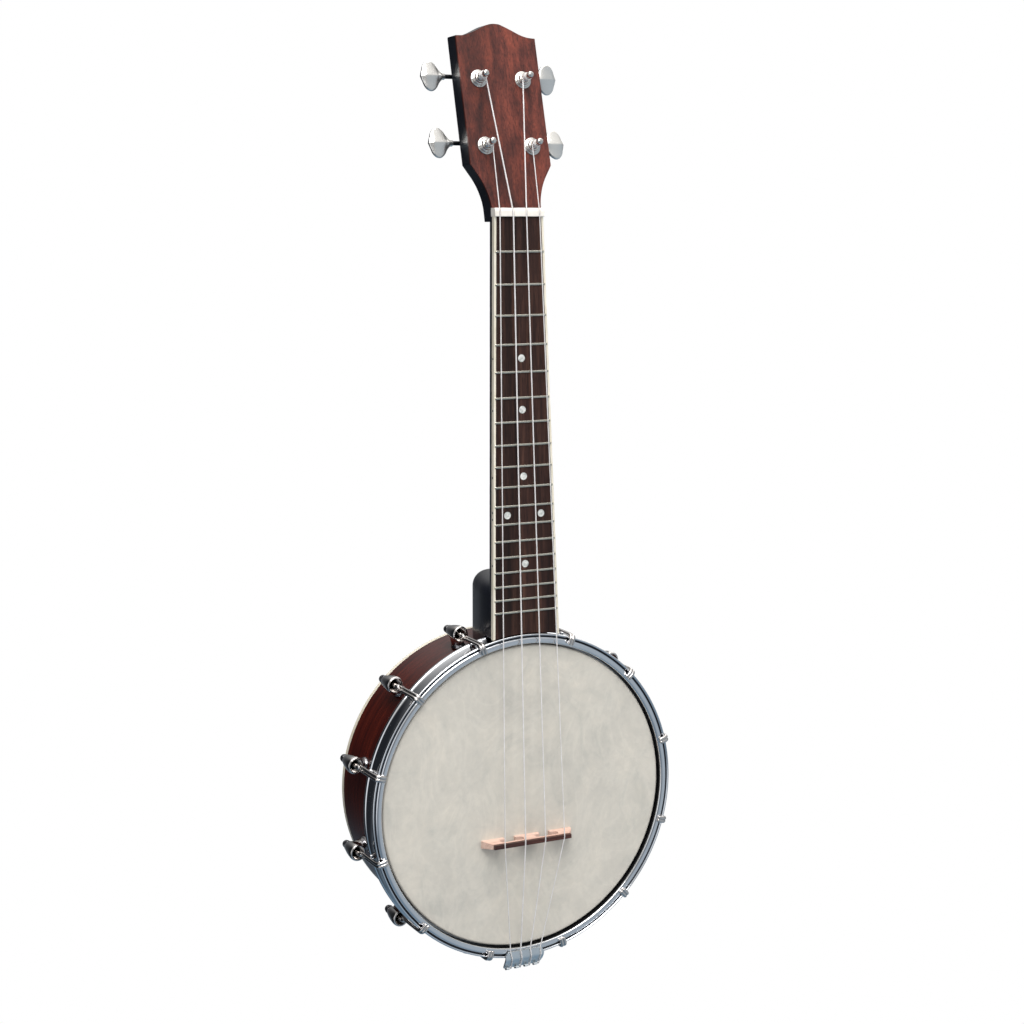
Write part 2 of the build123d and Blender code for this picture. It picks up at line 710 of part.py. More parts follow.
with BuildPart() as flesh_hoop:
    with BuildSketch(POT_PROFILE):
        with BuildLine():
            Polyline(
                (RIM_R + 0.65, 5.6), (106.3, 5.6), (106.3, 10.2), (105.8, 10.7),
                (RIM_R + 1.1, 10.7), (RIM_R + 0.65, 10.3), close=True,
            )
        make_face()
    revolve(axis=POT_AXIS)
save(flesh_hoop.part, "flesh_hoop")

with BuildPart() as tension_hoop:
    with BuildSketch(POT_PROFILE):
        with BuildLine():
            Polyline((106.6, 5.6), (103.4, 5.6), (103.4, -2.2))
            ThreePointArc((103.4, -2.2), (103.65, -2.8), (104.2, -3.0))
            Line((104.2, -3.0), (107.2, -3.0))
            Spline((107.2, -3.0), (108.1, -2.1), (109.0, -2.8), (109.7, -2.7), (110.0, -1.9),
                   tangents=[(1, 0), (0.2, 1)])
            Spline((110.0, -1.9), (109.7, -0.9), (108.7, 0.5), (108.4, 4.8), (108.7, 9.0),
                   (109.6, 10.6), (110.0, 11.6), tangents=[(0, 1), (0.1, 1)])
            ThreePointArc((110.0, 11.6), (109.75, 12.75), (108.9, 13.2))
            Polyline((108.9, 13.2), (106.9, 13.2), (106.6, 12.8), (106.6, 5.6))
        make_face()
    revolve(axis=POT_AXIS)
save(tension_hoop.part, "tension_hoop")

# one bracket: local x along the hoop, y depth, z radial
BAR_END = 25.0          # flat bar ends, round rod goes on
BAR_R = 111.3           # radius of the flat bar
EYE_Y = 26.5            # front of the shoe's eye
SHOE_BACK = 43.4
with BuildPart() as hook_one:
    # grooved flat bar beside the hoop
    with BuildSketch(Plane(origin=(0, -5.3, 0), x_dir=(1, 0, 0), z_dir=(0, 1, 0))):
        with Locations((0, -BAR_R)):
            RectangleRounded(4.2, 2.2, 0.7)
    extrude(amount=5.3 + BAR_END)
    # claw over the hoop's front, two ribs
    with BuildSketch(Plane(origin=(-2.9, 0, 0), x_dir=(0, 1, 0), z_dir=(1, 0, 0))):
        with BuildLine():
            Polyline(
                (-3.05, 112.1), (-3.05, 104.5), (-3.6, 104.1), (-5.0, 104.1),
                (-5.6, 105.0), (-5.7, 109.0), (-5.0, 110.8), (-3.6, 112.0), close=True,
            )
        make_face()
    extrude(amount=5.8)
    # groove between the ribs and down the bar
    with BuildSketch(Plane(origin=(0, -5.9, 0), x_dir=(1, 0, 0), z_dir=(0, 1, 0))):
        with Locations((0, -109)):
            Rectangle(1.3, 20)
    extrude(amount=1.5, mode=Mode.SUBTRACT)
    with BuildSketch(Plane(origin=(0, -8, 0), x_dir=(1, 0, 0), z_dir=(0, 1, 0))):
        with Locations((0, -113.0)):
            Rectangle(1.3, 2.2)
    extrude(amount=60, mode=Mode.SUBTRACT)
    # threaded end
    with BuildSketch(Plane(origin=(0, BAR_END - 0.6, HOOK_R), x_dir=(1, 0, 0), z_dir=(0, 1, 0))):
        Circle(1.9)
    extrude(amount=48.3 - BAR_END + 0.6)

with BuildPart() as hooks:
    with Locations(*BRACKETS):
        add(hook_one.part)
save(hooks.part, "hooks")

with BuildPart() as shoe_one:
    # foot on the rim
    with BuildSketch(Plane.XY.offset(RIM_R - 1.5)):
        with Locations((0, BR_Y)):
            Ellipse(5.6, 7.4)
    extrude(amount=4.2, taper=10)
    with BuildSketch(Plane.XY.offset(RIM_R + 1.0)):
        with Locations((0, BR_Y - 0.4)):
            Ellipse(4.4, 5.6)
    extrude(amount=6.2)
    # bell shaped eye round the hook, its mouth towards the hoop
    with BuildSketch(Plane(origin=(0, 0, HOOK_R), x_dir=(1, 0, 0), z_dir=(0, 0, 1))):
        with BuildLine():
            Line((0, EYE_Y), (3.7, EYE_Y))
            Spline(
                (3.7, EYE_Y), (5.3, EYE_Y + 1.3), (5.8, EYE_Y + 4.2), (5.2, EYE_Y + 9.0),
                (4.1, EYE_Y + 13.2), (3.3, SHOE_BACK), tangents=[(1, 0), (-0.2, 1)],
            )
            Polyline((3.3, SHOE_BACK), (0, SHOE_BACK), (0, EYE_Y))
        make_face()
    revolve(axis=Axis(origin=(0, 0, HOOK_R), direction=(0, 1, 0)))
    # seat on the rim, mouth and hole for the hook, thread for the screw
    with BuildSketch(Plane(origin=(0, 0, 0), x_dir=(1, 0, 0), z_dir=(0, 1, 0))):
        Circle(RIM_R)
    extrude(amount=80, mode=Mode.SUBTRACT)
    with BuildSketch(Plane(origin=(0, 0, HOOK_R), x_dir=(1, 0, 0), z_dir=(0, 0, 1))):
        with BuildLine():
            Polyline(
                (0, EYE_Y - 1), (3.3, EYE_Y - 1), (3.3, EYE_Y + 0.4), (2.05, EYE_Y + 3.4),
                (2.05, SHOE_BACK + 1), (0, SHOE_BACK + 1), close=True,
            )
        make_face()
    revolve(axis=Axis(origin=(0, 0, HOOK_R), direction=(0, 1, 0)), mode=Mode.SUBTRACT)
    with BuildSketch(Plane(origin=(0, BR_Y, 95), x_dir=(1, 0, 0), z_dir=(0, 0, 1))):
        Circle(1.9)
    extrude(amount=11.5, mode=Mode.SUBTRACT)

with BuildPart() as bracket_shoes:
    with Locations(*BRACKETS):
        add(shoe_one.part)
save(bracket_shoes.part, "bracket_shoes")

with BuildPart() as nut_one:
    with BuildSketch(Plane(origin=(0, SHOE_BACK + 0.05, HOOK_R), x_dir=(1, 0, 0), z_dir=(0, 1, 0))):
        RegularPolygon(3.3, 6)
    extrude(amount=2.6)
    with BuildSketch(Plane(origin=(0, 0, HOOK_R), x_dir=(1, 0, 0), z_dir=(0, 0, 1))):
        with BuildLine():
            Polyline((0, SHOE_BACK + 1), (2.7, SHOE_BACK + 1), (2.7, SHOE_BACK + 4.0))
            CenterArc((0, SHOE_BACK + 4.0), 2.7, start_angle=0, arc_size=90)
            Line((0, SHOE_BACK + 6.7), (0, SHOE_BACK + 1))
        make_face()
    revolve(axis=Axis(origin=(0, 0, HOOK_R), direction=(0, 1, 0)))
    with BuildSketch(Plane(origin=(0, SHOE_BACK - 1, HOOK_R), x_dir=(1, 0, 0), z_dir=(0, 1, 0))):
        Circle(1.9)
    extrude(amount=5.9, mode=Mode.SUBTRACT)

with BuildPart() as hook_nuts:
    with Locations(*BRACKETS):
        add(nut_one.part)
save(hook_nuts.part, "hook_nuts")

with BuildPart() as shoe_screws:
    for plane in BRACKETS:
        at = Plane(origin=plane.from_local_coords(Vector(0, BR_Y, 91.0)), x_dir=plane.x_dir, z_dir=plane.z_dir)
        with BuildSketch(at):
            Circle(3.4)
        extrude(amount=-2.0, taper=14)
        with BuildSketch(at):
            Circle(1.9)
        extrude(amount=14.5)
        with BuildSketch(at.offset(-1.1)):
            Rectangle(8, 0.8)
        extrude(amount=-1.5, mode=Mode.SUBTRACT)
save(shoe_screws.part, "shoe_screws")

with BuildPart() as shoe_washers:
    for plane in BRACKETS:
        with BuildSketch(
            Plane(origin=plane.from_local_coords(Vector(0, BR_Y, 91.0)), x_dir=plane.x_dir, z_dir=plane.z_dir)
        ):
            Circle(4.2)
            Circle(2.0, mode=Mode.SUBTRACT)
        extrude(amount=0.85)
save(shoe_washers.part, "shoe_washers")

# ------------------------------------------- rod and bolts inside the pot
ROD_Y = 38.0


def rod_plane(z, up=1):
    return Plane(origin=pot_pt(0, ROD_Y, z), x_dir=(1, 0, 0), z_dir=(0, 0, up))


with BuildPart() as coordinator_rod:
    with BuildSketch(rod_plane(-84)):
        Circle(4.5)
    extrude(amount=168)
    chamfer(coordinator_rod.edges(), 0.6)
    for z, up in ((84, -1), (-84, 1)):
        with BuildSketch(rod_plane(z, up)):
            Circle(3.0)
        extrude(amount=14, mode=Mode.SUBTRACT)
    # wrench flats
    for s in (-1, 1):
        with BuildSketch(rod_plane(-66)):
            with Locations((s * 5.4, 0)):
                Rectangle(3, 12)
        extrude(amount=12, mode=Mode.SUBTRACT)
save(coordinator_rod.part, "coordinator_rod")

with BuildPart() as heel_bolt:
    with BuildSketch(rod_plane(71)):
        Circle(3.0)
    extrude(amount=62)
save(heel_bolt.part, "heel_bolt")

with BuildPart() as rod_nuts:
    for z, up in ((84.3, 1), (-84.3, -1)):
        with BuildSketch(rod_plane(z, up)):
            RegularPolygon(6.4, 6)
            Circle(3.02, mode=Mode.SUBTRACT)
        extrude(amount=5.2)
save(rod_nuts.part, "rod_nuts")

with BuildPart() as rod_washers:
    for z, up in ((89.6, 1), (-89.6, -1)):
        with BuildSketch(rod_plane(z, up)):
            Circle(7.0)
            Circle(3.2, mode=Mode.SUBTRACT)
        extrude(amount=1.9)
save(rod_washers.part, "rod_washers")

with BuildPart() as tail_bolt:
    with BuildSketch(rod_plane(-103.2)):
        Circle(3.0)
    extrude(amount=103.2 - 71)
    with BuildSketch(rod_plane(-103.2, -1)):
        RegularPolygon(5.6, 6)
    extrude(amount=3.4)
    chamfer(tail_bolt.faces().sort_by(Axis.Z)[0].edges(), 0.6)
save(tail_bolt.part, "tail_bolt")

# ---------------------------------------------------------------- tailpiece
TP_T = 1.2
with BuildPart() as tailpiece:
    # sloping front plate, its outline seen from the front
    with BuildSketch(pot_side(TP_X - 15.0)):
        with BuildLine() as plate_path:
            FilletPolyline(*plate_line(), radius=5)
        trace(plate_path.line, line_width=TP_T)
    extrude(amount=30)
    with BuildSketch(Plane(origin=pot_pt(0, -20, 0), x_dir=(1, 0, 0), z_dir=(0, -1, 0))):
        with BuildLine():
            outline = (
                (-12.1, -104.5), (12.1, -104.5), (14.3, -107.5), (14.3, -113.0),
                (12.6, -118.5), (-13.4, -118.5), (-14.3, -107.5),
            )
            Polyline(
                *[(TP_X + a, b) for a, b in outline], close=True,
            )
        make_face()
        for x in HOOK_X:
            with Locations((x, -117.2)):
                Rectangle(1.5, 2.4, mode=Mode.SUBTRACT)
    extrude(amount=-60, mode=Mode.INTERSECT)
    # hanger strap round the hoop and in to the rim
    with BuildSketch(pot_side(-6.0)):
        with BuildLine() as strap_path:
            FilletPolyline(
                (-0.2, -115.6), (2.4, -114.6), (6.0, -112.9), (19.0, -112.6), (27.0, -102.25), (47.0, -102.25),
                radius=[2.2, 4, 4, 4],
            )
        trace(strap_path.line, line_width=TP_T)
    extrude(amount=12)
    with BuildSketch(rod_plane(-110)):
        Circle(3.2)
    extrude(amount=20, mode=Mode.SUBTRACT)
    # four string hooks curled forward at the lower edge
    for x in HOOK_X:
        with BuildSketch(pot_side(x - 4.0)):
            with BuildLine() as curl_path:
                FilletPolyline(
                    (-0.6, -114.6), (1.2, -116.4), (-0.4, -118.0), (-2.4, -116.6), radius=[0.9, 0.9]
                )
            trace(curl_path.line, line_width=1.0)
        extrude(amount=2.6)
save(tailpiece.part, "tailpiece")

# ------------------------------------------------------------------- bridge
CAP_H = 2.3
BRIDGE_TOP_T, BRIDGE_FOOT_T = 2.7, 5.0
bridge_plane = Plane(
    origin=pot_pt(BRIDGE_X, 0, BRIDGE_Z + 4), x_dir=(1, 0, 0), z_dir=(0, 0, -1)
)
bridge_side = Plane(
    origin=pot_pt(BRIDGE_X - 40, 0, BRIDGE_Z), x_dir=(0, 0, 1), z_dir=(1, 0, 0)
)

with BuildPart() as bridge:
    with BuildSketch(bridge_plane):
        h = BRIDGE_H - CAP_H
        with BuildLine():
            Polyline((-33.2, 0), (33.2, 0), (32.6, 2.6), (28.4, h), (-28.4, h), (-32.6, 2.6), close=True)
        make_face()
        for x in (-13.0, 12.6):
            with Locations((x, 4.9)):
                SlotOverall(17.4, 4.6, mode=Mode.SUBTRACT)
            with Locations((x, 2.0)):
                Rectangle(7.8, 5.0, mode=Mode.SUBTRACT)
        for x in (-34.6, 34.6):
            with Locations((x, 5.2)):
                Circle(3.4, mode=Mode.SUBTRACT)
    extrude(amount=8)
    with BuildSketch(bridge_side):
        with BuildLine():
            Polyline(
                (-BRIDGE_FOOT_T / 2, 0), (BRIDGE_FOOT_T / 2, 0),
                (BRIDGE_TOP_T / 2, BRIDGE_H), (-BRIDGE_TOP_T / 2, BRIDGE_H), close=True,
            )
        make_face()
    extrude(amount=80, mode=Mode.INTERSECT)
save(bridge.part, "bridge")

with BuildPart() as bridge_cap:
    with BuildSketch(bridge_plane):
        with Locations((0, BRIDGE_H - CAP_H / 2)):
            Rectangle(56.8, CAP_H)
    extrude(amount=8)
    with BuildSketch(bridge_side):
        with BuildLine():
            Polyline(
                (-BRIDGE_FOOT_T / 2, 0), (BRIDGE_FOOT_T / 2, 0),
                (BRIDGE_TOP_T / 2, BRIDGE_H), (-BRIDGE_TOP_T / 2, BRIDGE_H), close=True,
            )
        make_face()
    extrude(amount=80, mode=Mode.INTERSECT)
    for i, x in enumerate(BRIDGE_STRINGS):
        w = STRING_R[i] + 0.25
        with BuildSketch(Plane(origin=pot_pt(BRIDGE_X + x, -(BRIDGE_H + 1), BRIDGE_Z), x_dir=(1, 0, 0), z_dir=(0, 1, 0))):
            Rectangle(2 * w, 12)
        extrude(amount=1 + 0.6, mode=Mode.SUBTRACT)
save(bridge_cap.part, "bridge_cap")
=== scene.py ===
import math
import bpy
import bmesh
from mathutils import Matrix, Vector


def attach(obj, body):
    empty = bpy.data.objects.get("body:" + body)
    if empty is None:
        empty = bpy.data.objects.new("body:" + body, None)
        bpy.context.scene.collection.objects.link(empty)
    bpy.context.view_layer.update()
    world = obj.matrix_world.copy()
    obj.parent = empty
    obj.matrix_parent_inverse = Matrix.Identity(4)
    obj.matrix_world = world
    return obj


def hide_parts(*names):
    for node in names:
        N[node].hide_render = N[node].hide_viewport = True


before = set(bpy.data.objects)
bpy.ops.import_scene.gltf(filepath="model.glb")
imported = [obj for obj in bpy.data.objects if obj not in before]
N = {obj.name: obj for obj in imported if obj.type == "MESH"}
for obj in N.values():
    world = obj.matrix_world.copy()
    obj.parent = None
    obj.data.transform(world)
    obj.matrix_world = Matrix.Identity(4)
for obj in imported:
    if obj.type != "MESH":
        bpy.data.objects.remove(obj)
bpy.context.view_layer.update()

MM = 0.001

# --------------------------------------------------------------- dimensions
HEAD_Y, POT_Z = -23.0, -397.0
BETA, TILT = math.radians(2.577), math.radians(13.0)
NUT_Y, NUT_Z = -12.95, -17.95
RIM_R, RIM_RI, RIM_BACK = 101.6, 92.0, 70.5
HOOP_R, HOOK_R, BR_Y = 110.0, 112.2, 36.0
BRACKET_ANGLES = (17.5, 46.0, 75.7, 106.0, 136.0, 165.3)
WORM_DS, WORM_N = 6.4, -16.3
TUNERS = (
    ("upper_left", -1, 15.8, 87.2, 0.0),
    ("lower_left", -1, 16.6, 43.2, 0.0),
    ("upper_right", 1, 15.8, 87.2, 10.0),
    ("lower_right", 1, 16.6, 43.2, -5.0),
)

NV, NW = Vector((0, math.sin(BETA), math.cos(BETA))), Vector((0, -math.cos(BETA), math.sin(BETA)))
HV = Vector((0, math.sin(BETA + TILT), math.cos(BETA + TILT)))
HW = Vector((0, -math.cos(BETA + TILT), math.sin(BETA + TILT)))
X = Vector((1, 0, 0))

# -------------------------------------------------------------------- light
KEY, FILL, TOP, BACK = 38, 12, 10, 5
WORLD_LEFT = (0.85, 0.87, 0.90)
WORLD_BASE, WORLD_TOP, WORLD_LOW = (0.17, 0.175, 0.185), (0.80, 0.79, 0.775), (0.17, 0.25, 0.33)
WORLD_RIGHT, WORLD_DARK = (0.40, 0.45, 0.50), (0.018, 0.02, 0.024)
HS_O = Vector((0, NUT_Y, NUT_Z)) + NV * 3.0 - NW * 2.3


def neck_pt(x, v, w):
    return Vector((0, NUT_Y, NUT_Z)) + X * x + NV * v + NW * w


def hs_pt(x, s, n):
    return HS_O + X * x + HV * s + HW * n


def pot_pt(x, y, z):
    return Vector((x, y + HEAD_Y, z + POT_Z))


# ---------------------------------------------------------------- materials
def material(name):
    m = bpy.data.materials.new(name)
    m.use_nodes = True
    nt = m.node_tree
    nt.nodes.clear()
    out = nt.nodes.new("ShaderNodeOutputMaterial")
    bsdf = nt.nodes.new("ShaderNodeBsdfPrincipled")
    nt.links.new(bsdf.outputs[0], out.inputs[0])
    return m, nt, bsdf


def node(nt, kind, **props):
    n = nt.nodes.new(kind)
    for k, v in props.items():
        setattr(n, k, v)
    return n


def object_coords(nt):
    return node(nt, "ShaderNodeTexCoord").outputs["Object"]


def math_node(nt, op, a, b=None, clamp=False):
    n = node(nt, "ShaderNodeMath", operation=op, use_clamp=clamp)
    for i, v in enumerate((a, b)):
        if v is None:
            continue
        if hasattr(v, "is_linked"):
            nt.links.new(v, n.inputs[i])
        else:
            n.inputs[i].default_value = v
    return n.outputs[0]


def swizzle(nt, vec, order):
    sep = node(nt, "ShaderNodeSeparateXYZ")
    nt.links.new(vec, sep.inputs[0])
    com = node(nt, "ShaderNodeCombineXYZ")
    for i, c in enumerate(order):
        nt.links.new(sep.outputs["XYZ".index(c)], com.inputs[i])
    return com.outputs[0]


def round_the_pot(nt):
    # (depth, radius, way round) in metres, about the pot's axis
    sep = node(nt, "ShaderNodeSeparateXYZ")
    nt.links.new(object_coords(nt), sep.inputs[0])
    dz = math_node(nt, "SUBTRACT", sep.outputs[2], POT_Z * MM)
    angle = math_node(nt, "ARCTAN2", sep.outputs[0], dz)
    way = math_node(nt, "MULTIPLY", angle, RIM_R * MM)
    r = math_node(nt, "SQRT", math_node(nt, "ADD", math_node(nt, "MULTIPLY", sep.outputs[0], sep.outputs[0]), math_node(nt, "MULTIPLY", dz, dz)))
    com = node(nt, "ShaderNodeCombineXYZ")
    nt.links.new(sep.outputs[1], com.inputs[0])
    nt.links.new(r, com.inputs[1])
    nt.links.new(way, com.inputs[2])
    return com.outputs[0]


def noise(nt, vec, scale, detail=3.0, rough=0.5, stretch=(1, 1, 1), distortion=0.0, offset=(0, 0, 0)):
    mp = node(nt, "ShaderNodeMapping")
    nt.links.new(vec, mp.inputs["Vector"])
    mp.inputs["Scale"].default_value = stretch
    mp.inputs["Location"].default_value = offset
    n = node(nt, "ShaderNodeTexNoise")
    n.inputs["Scale"].default_value = scale
    n.inputs["Detail"].default_value = detail
    n.inputs["Roughness"].default_value = rough
    n.inputs["Distortion"].default_value = distortion
    nt.links.new(mp.outputs[0], n.inputs["Vector"])
    return n.outputs[0]


def ramp(nt, fac, stops, mode="LINEAR"):
    r = node(nt, "ShaderNodeValToRGB")
    r.color_ramp.interpolation = mode
    els = r.color_ramp.elements
    while len(els) < len(stops):
        els.new(0.5)
    for e, (p, c) in zip(els, stops):
        e.position = p
        e.color = (*c, 1) if len(c) == 3 else c
    nt.links.new(fac, r.inputs[0])
    return r.outputs[0]


def grey(v):
    return (v, v, v)


def mix(nt, fac, a, b, mode="MIX"):
    n = node(nt, "ShaderNodeMix", data_type="RGBA", blend_type=mode)
    for sock, v in ((n.inputs[0], fac), (n.inputs[6], a), (n.inputs[7], b)):
        if hasattr(v, "is_linked"):
            nt.links.new(v, sock)
        elif isinstance(v, (int, float)):
            sock.default_value = v
        else:
            sock.default_value = (*v, 1)
    return n.outputs[2]


def bump(nt, bsdf, height, distance, strength=1.0, normal="Normal"):
    b = node(nt, "ShaderNodeBump")
    b.inputs["Strength"].default_value = strength
    b.inputs["Distance"].default_value = distance
    nt.links.new(height, b.inputs["Height"])
    nt.links.new(b.outputs[0], bsdf.inputs[normal])
    return b


def srgb(r, g, b):
    def f(c):
        c /= 255.0
        return c / 12.92 if c <= 0.04045 else ((c + 0.055) / 1.055) ** 2.4
    return (f(r), f(g), f(b))


def wood(name, dark, mid, light, vec=None, order="XYZ", across=170.0, along=0.035, rough=(0.3, 0.5),
         coat=0.0, coat_rough=0.1, pores=0.35, bump_mm=0.05, streak=0.5, spec=0.5, fine_dark=0.80):
    # grain runs along the third coordinate
    m, nt, bsdf = material(name)
    v = vec(nt) if vec else swizzle(nt, object_coords(nt), order)
    bands = noise(nt, v, across, 4.0, 0.6, (1, 1, along), 0.25)
    wide = noise(nt, v, across * 0.28, 2.0, 0.5, (1, 1, along * 1.2), 0.3, (0.3, 0.1, 0.7))
    fine = noise(nt, v, across * 7.0, 3.0, 0.6, (1, 1, along * 0.8), 0.0, (1.3, 2.1, 0.4))
    pore = noise(nt, v, across * 11.0, 1.0, 0.5, (1, 1, along * 1.6), 0.0, (3.3, 1.1, 2.4))
    base = ramp(nt, bands, [(0.30, dark), (0.50, mid), (0.72, light)])
    broad = ramp(nt, wide, [(0.36, grey(1.0 - streak)), (0.60, grey(1.0))])
    c = mix(nt, 1.0, base, broad, "MULTIPLY")
    c = mix(nt, 1.0, c, ramp(nt, fine, [(0.30, grey(fine_dark)), (0.65, grey(1.12))]), "MULTIPLY")
    dots = ramp(nt, pore, [(0.33, grey(1.0 - pores)), (0.42, grey(1.0))])
    c = mix(nt, 1.0, c, dots, "MULTIPLY")
    nt.links.new(c, bsdf.inputs["Base Color"])
    rr = ramp(nt, fine, [(0.3, grey(rough[1])), (0.7, grey(rough[0]))])
    nt.links.new(rr, bsdf.inputs["Roughness"])
    bsdf.inputs["Coat Weight"].default_value = coat
    bsdf.inputs["Coat Roughness"].default_value = coat_rough
    bsdf.inputs["Specular IOR Level"].default_value = spec
    if bump_mm:
        bump(nt, bsdf, mix(nt, 0.5, fine, dots), bump_mm * MM, 0.35)
    return m


def metal(name, color, rough, scratch=0.04, order="XYZ", stretch=(1, 1, 1), stain=None, bump_mm=0.0):
    m, nt, bsdf = material(name)
    v = swizzle(nt, object_coords(nt), order)
    cloud = noise(nt, v, 90.0, 3.0, 0.55)
    hair = noise(nt, v, 2600.0, 2.0, 0.6, stretch)
    dark = tuple(c * 0.94 for c in color)
    nt.links.new(ramp(nt, cloud, [(0.3, stain or dark), (0.62, color)]), bsdf.inputs["Base Color"])
    rr = mix(nt, 0.5, ramp(nt, cloud, [(0.35, grey(rough + scratch)), (0.65, grey(rough))]),
             ramp(nt, hair, [(0.35, grey(rough + scratch)), (0.6, grey(rough))]))
    nt.links.new(rr, bsdf.inputs["Roughness"])
    bsdf.inputs["Metallic"].default_value = 1.0
    if bump_mm:
        bump(nt, bsdf, hair, bump_mm * MM, 0.2)
    return m


def plastic(name, a, b, rough=0.35, scale=60.0, coat=0.0, bump_mm=0.01, sss=0.0):
    m, nt, bsdf = material(name)
    v = object_coords(nt)
    cloud = noise(nt, v, scale, 3.0, 0.55)
    nt.links.new(ramp(nt, cloud, [(0.35, a), (0.65, b)]), bsdf.inputs["Base Color"])
    small = noise(nt, v, 1800.0, 2.0, 0.5)
    nt.links.new(ramp(nt, small, [(0.3, grey(rough + 0.08)), (0.7, grey(rough))]), bsdf.inputs["Roughness"])
    bsdf.inputs["Coat Weight"].default_value = coat
    if sss:
        bsdf.inputs["Subsurface Weight"].default_value = sss
        bsdf.inputs["Subsurface Radius"].default_value = (1.0, 0.8, 0.6)
        bsdf.inputs["Subsurface Scale"].default_value = 0.0015
    if bump_mm:
        bump(nt, bsdf, small, bump_mm * MM, 0.3)
    return m


M = {}
M["head_veneer"] = wood("mat_head_veneer", srgb(54, 23, 20), srgb(98, 46, 36), srgb(130, 62, 46), order="XYZ",
                        across=150.0, along=0.03, rough=(0.36, 0.5), coat=0.12, coat_rough=0.25, streak=0.42, pores=0.45, fine_dark=0.62, spec=0.35)
M["rosewood"] = wood("mat_rosewood", srgb(30, 17, 15), srgb(56, 34, 28), srgb(92, 62, 50), order="XYZ",
                     across=230.0, along=0.022, rough=(0.46, 0.6), streak=0.5, pores=0.5, bump_mm=0.08, spec=0.25)
M["rim_wood"] = wood("mat_rim_wood", srgb(46, 12, 9), srgb(66, 19, 12), srgb(86, 30, 18), vec=round_the_pot,
                     across=210.0, along=0.05, rough=(0.26, 0.36), coat=0.2, coat_rough=0.18, streak=0.14, pores=0.3, bump_mm=0.03, fine_dark=0.7, spec=0.3)
M["maple"] = wood("mat_maple", srgb(212, 172, 154), srgb(226, 190, 172), srgb(238, 208, 192), order="ZYX",
                  across=300.0, along=0.04, rough=(0.45, 0.6), streak=0.08, pores=0.12, bump_mm=0.03)
M["cap_wood"] = wood("mat_cap_wood", srgb(44, 21, 18), srgb(84, 47, 38), srgb(128, 84, 68), order="ZYX",
                     across=420.0, along=0.03, rough=(0.3, 0.42), streak=0.3, pores=0.35, bump_mm=0.03)
M["chrome"] = metal("mat_chrome", (0.80, 0.82, 0.85), 0.055, 0.05)
M["hook_chrome"] = metal("mat_hook_chrome", (0.68, 0.65, 0.63), 0.09, 0.05)
M["post_metal"] = metal("mat_post_metal", (0.78, 0.76, 0.72), 0.05, 0.02)
M["black_steel"] = metal("mat_black_steel", (0.035, 0.035, 0.04), 0.3, 0.1)
M["nickel"] = metal("mat_nickel", (0.94, 0.92, 0.88), 0.25, 0.02)
M["dark_steel"] = metal("mat_dark_steel", (0.22, 0.22, 0.24), 0.22, 0.1)
M["nut_steel"] = metal("mat_nut_steel", (0.34, 0.33, 0.34), 0.14, 0.08)
M["tail_chrome"] = metal("mat_tail_chrome", (0.84, 0.88, 0.90), 0.30, 0.06)
# painted shade: dark metal for the hoop's inner wall and groove, standing in for shadow and dark reflection
M["hoop_inside"] = metal("mat_hoop_inside", (0.09, 0.09, 0.10), 0.30, 0.1)
M["brass"] = metal("mat_brass", (0.74, 0.56, 0.27), 0.25, 0.12)
M["aluminium"] = metal("mat_aluminium", (0.68, 0.68, 0.69), 0.35, 0.12)
M["fret_metal"] = metal("mat_fret_metal", (0.66, 0.63, 0.54), 0.22, 0.08, order="XYZ", stretch=(0.02, 1, 1))
M["cream"] = plastic("mat_cream", srgb(220, 211, 190), srgb(231, 223, 206), 0.32, 70.0, coat=0.1, sss=0.08)
M["nut"] = plastic("mat_nut", srgb(226, 219, 208), srgb(238, 232, 223), 0.38, 90.0, sss=0.08)
M["pearl"] = plastic("mat_pearl", srgb(168, 172, 168), srgb(226, 224, 218), 0.22, 420.0, coat=0.4)
M["black_plastic"] = plastic("mat_black_plastic", (0.012, 0.012, 0.012), (0.022, 0.022, 0.024), 0.3)
M["nylon"] = plastic("mat_nylon", srgb(214, 209, 207), srgb(226, 222, 220), 0.25, 200.0, coat=0.2)


def black_lacquer():
    m, nt, bsdf = material("mat_black_lacquer")
    v = object_coords(nt)
    cloud = noise(nt, v, 35.0, 3.0, 0.5)
    nt.links.new(ramp(nt, cloud, [(0.35, (0.0045, 0.0055, 0.0095)), (0.68, (0.009, 0.0105, 0.0165))]), bsdf.inputs["Base Color"])
    orange = noise(nt, v, 700.0, 2.0, 0.5)
    grain = noise(nt, v, 900.0, 2.0, 0.5, (1, 1, 0.03))
    nt.links.new(ramp(nt, mix(nt, 0.5, cloud, grain), [(0.35, grey(0.40)), (0.65, grey(0.31))]), bsdf.inputs["Roughness"])
    bsdf.inputs["Coat Weight"].default_value = 0.35
    bsdf.inputs["Coat Roughness"].default_value = 0.2
    bump(nt, bsdf, mix(nt, 0.5, orange, grain), 0.03 * MM, 0.25)
    return m


M["black_wood"] = black_lacquer()


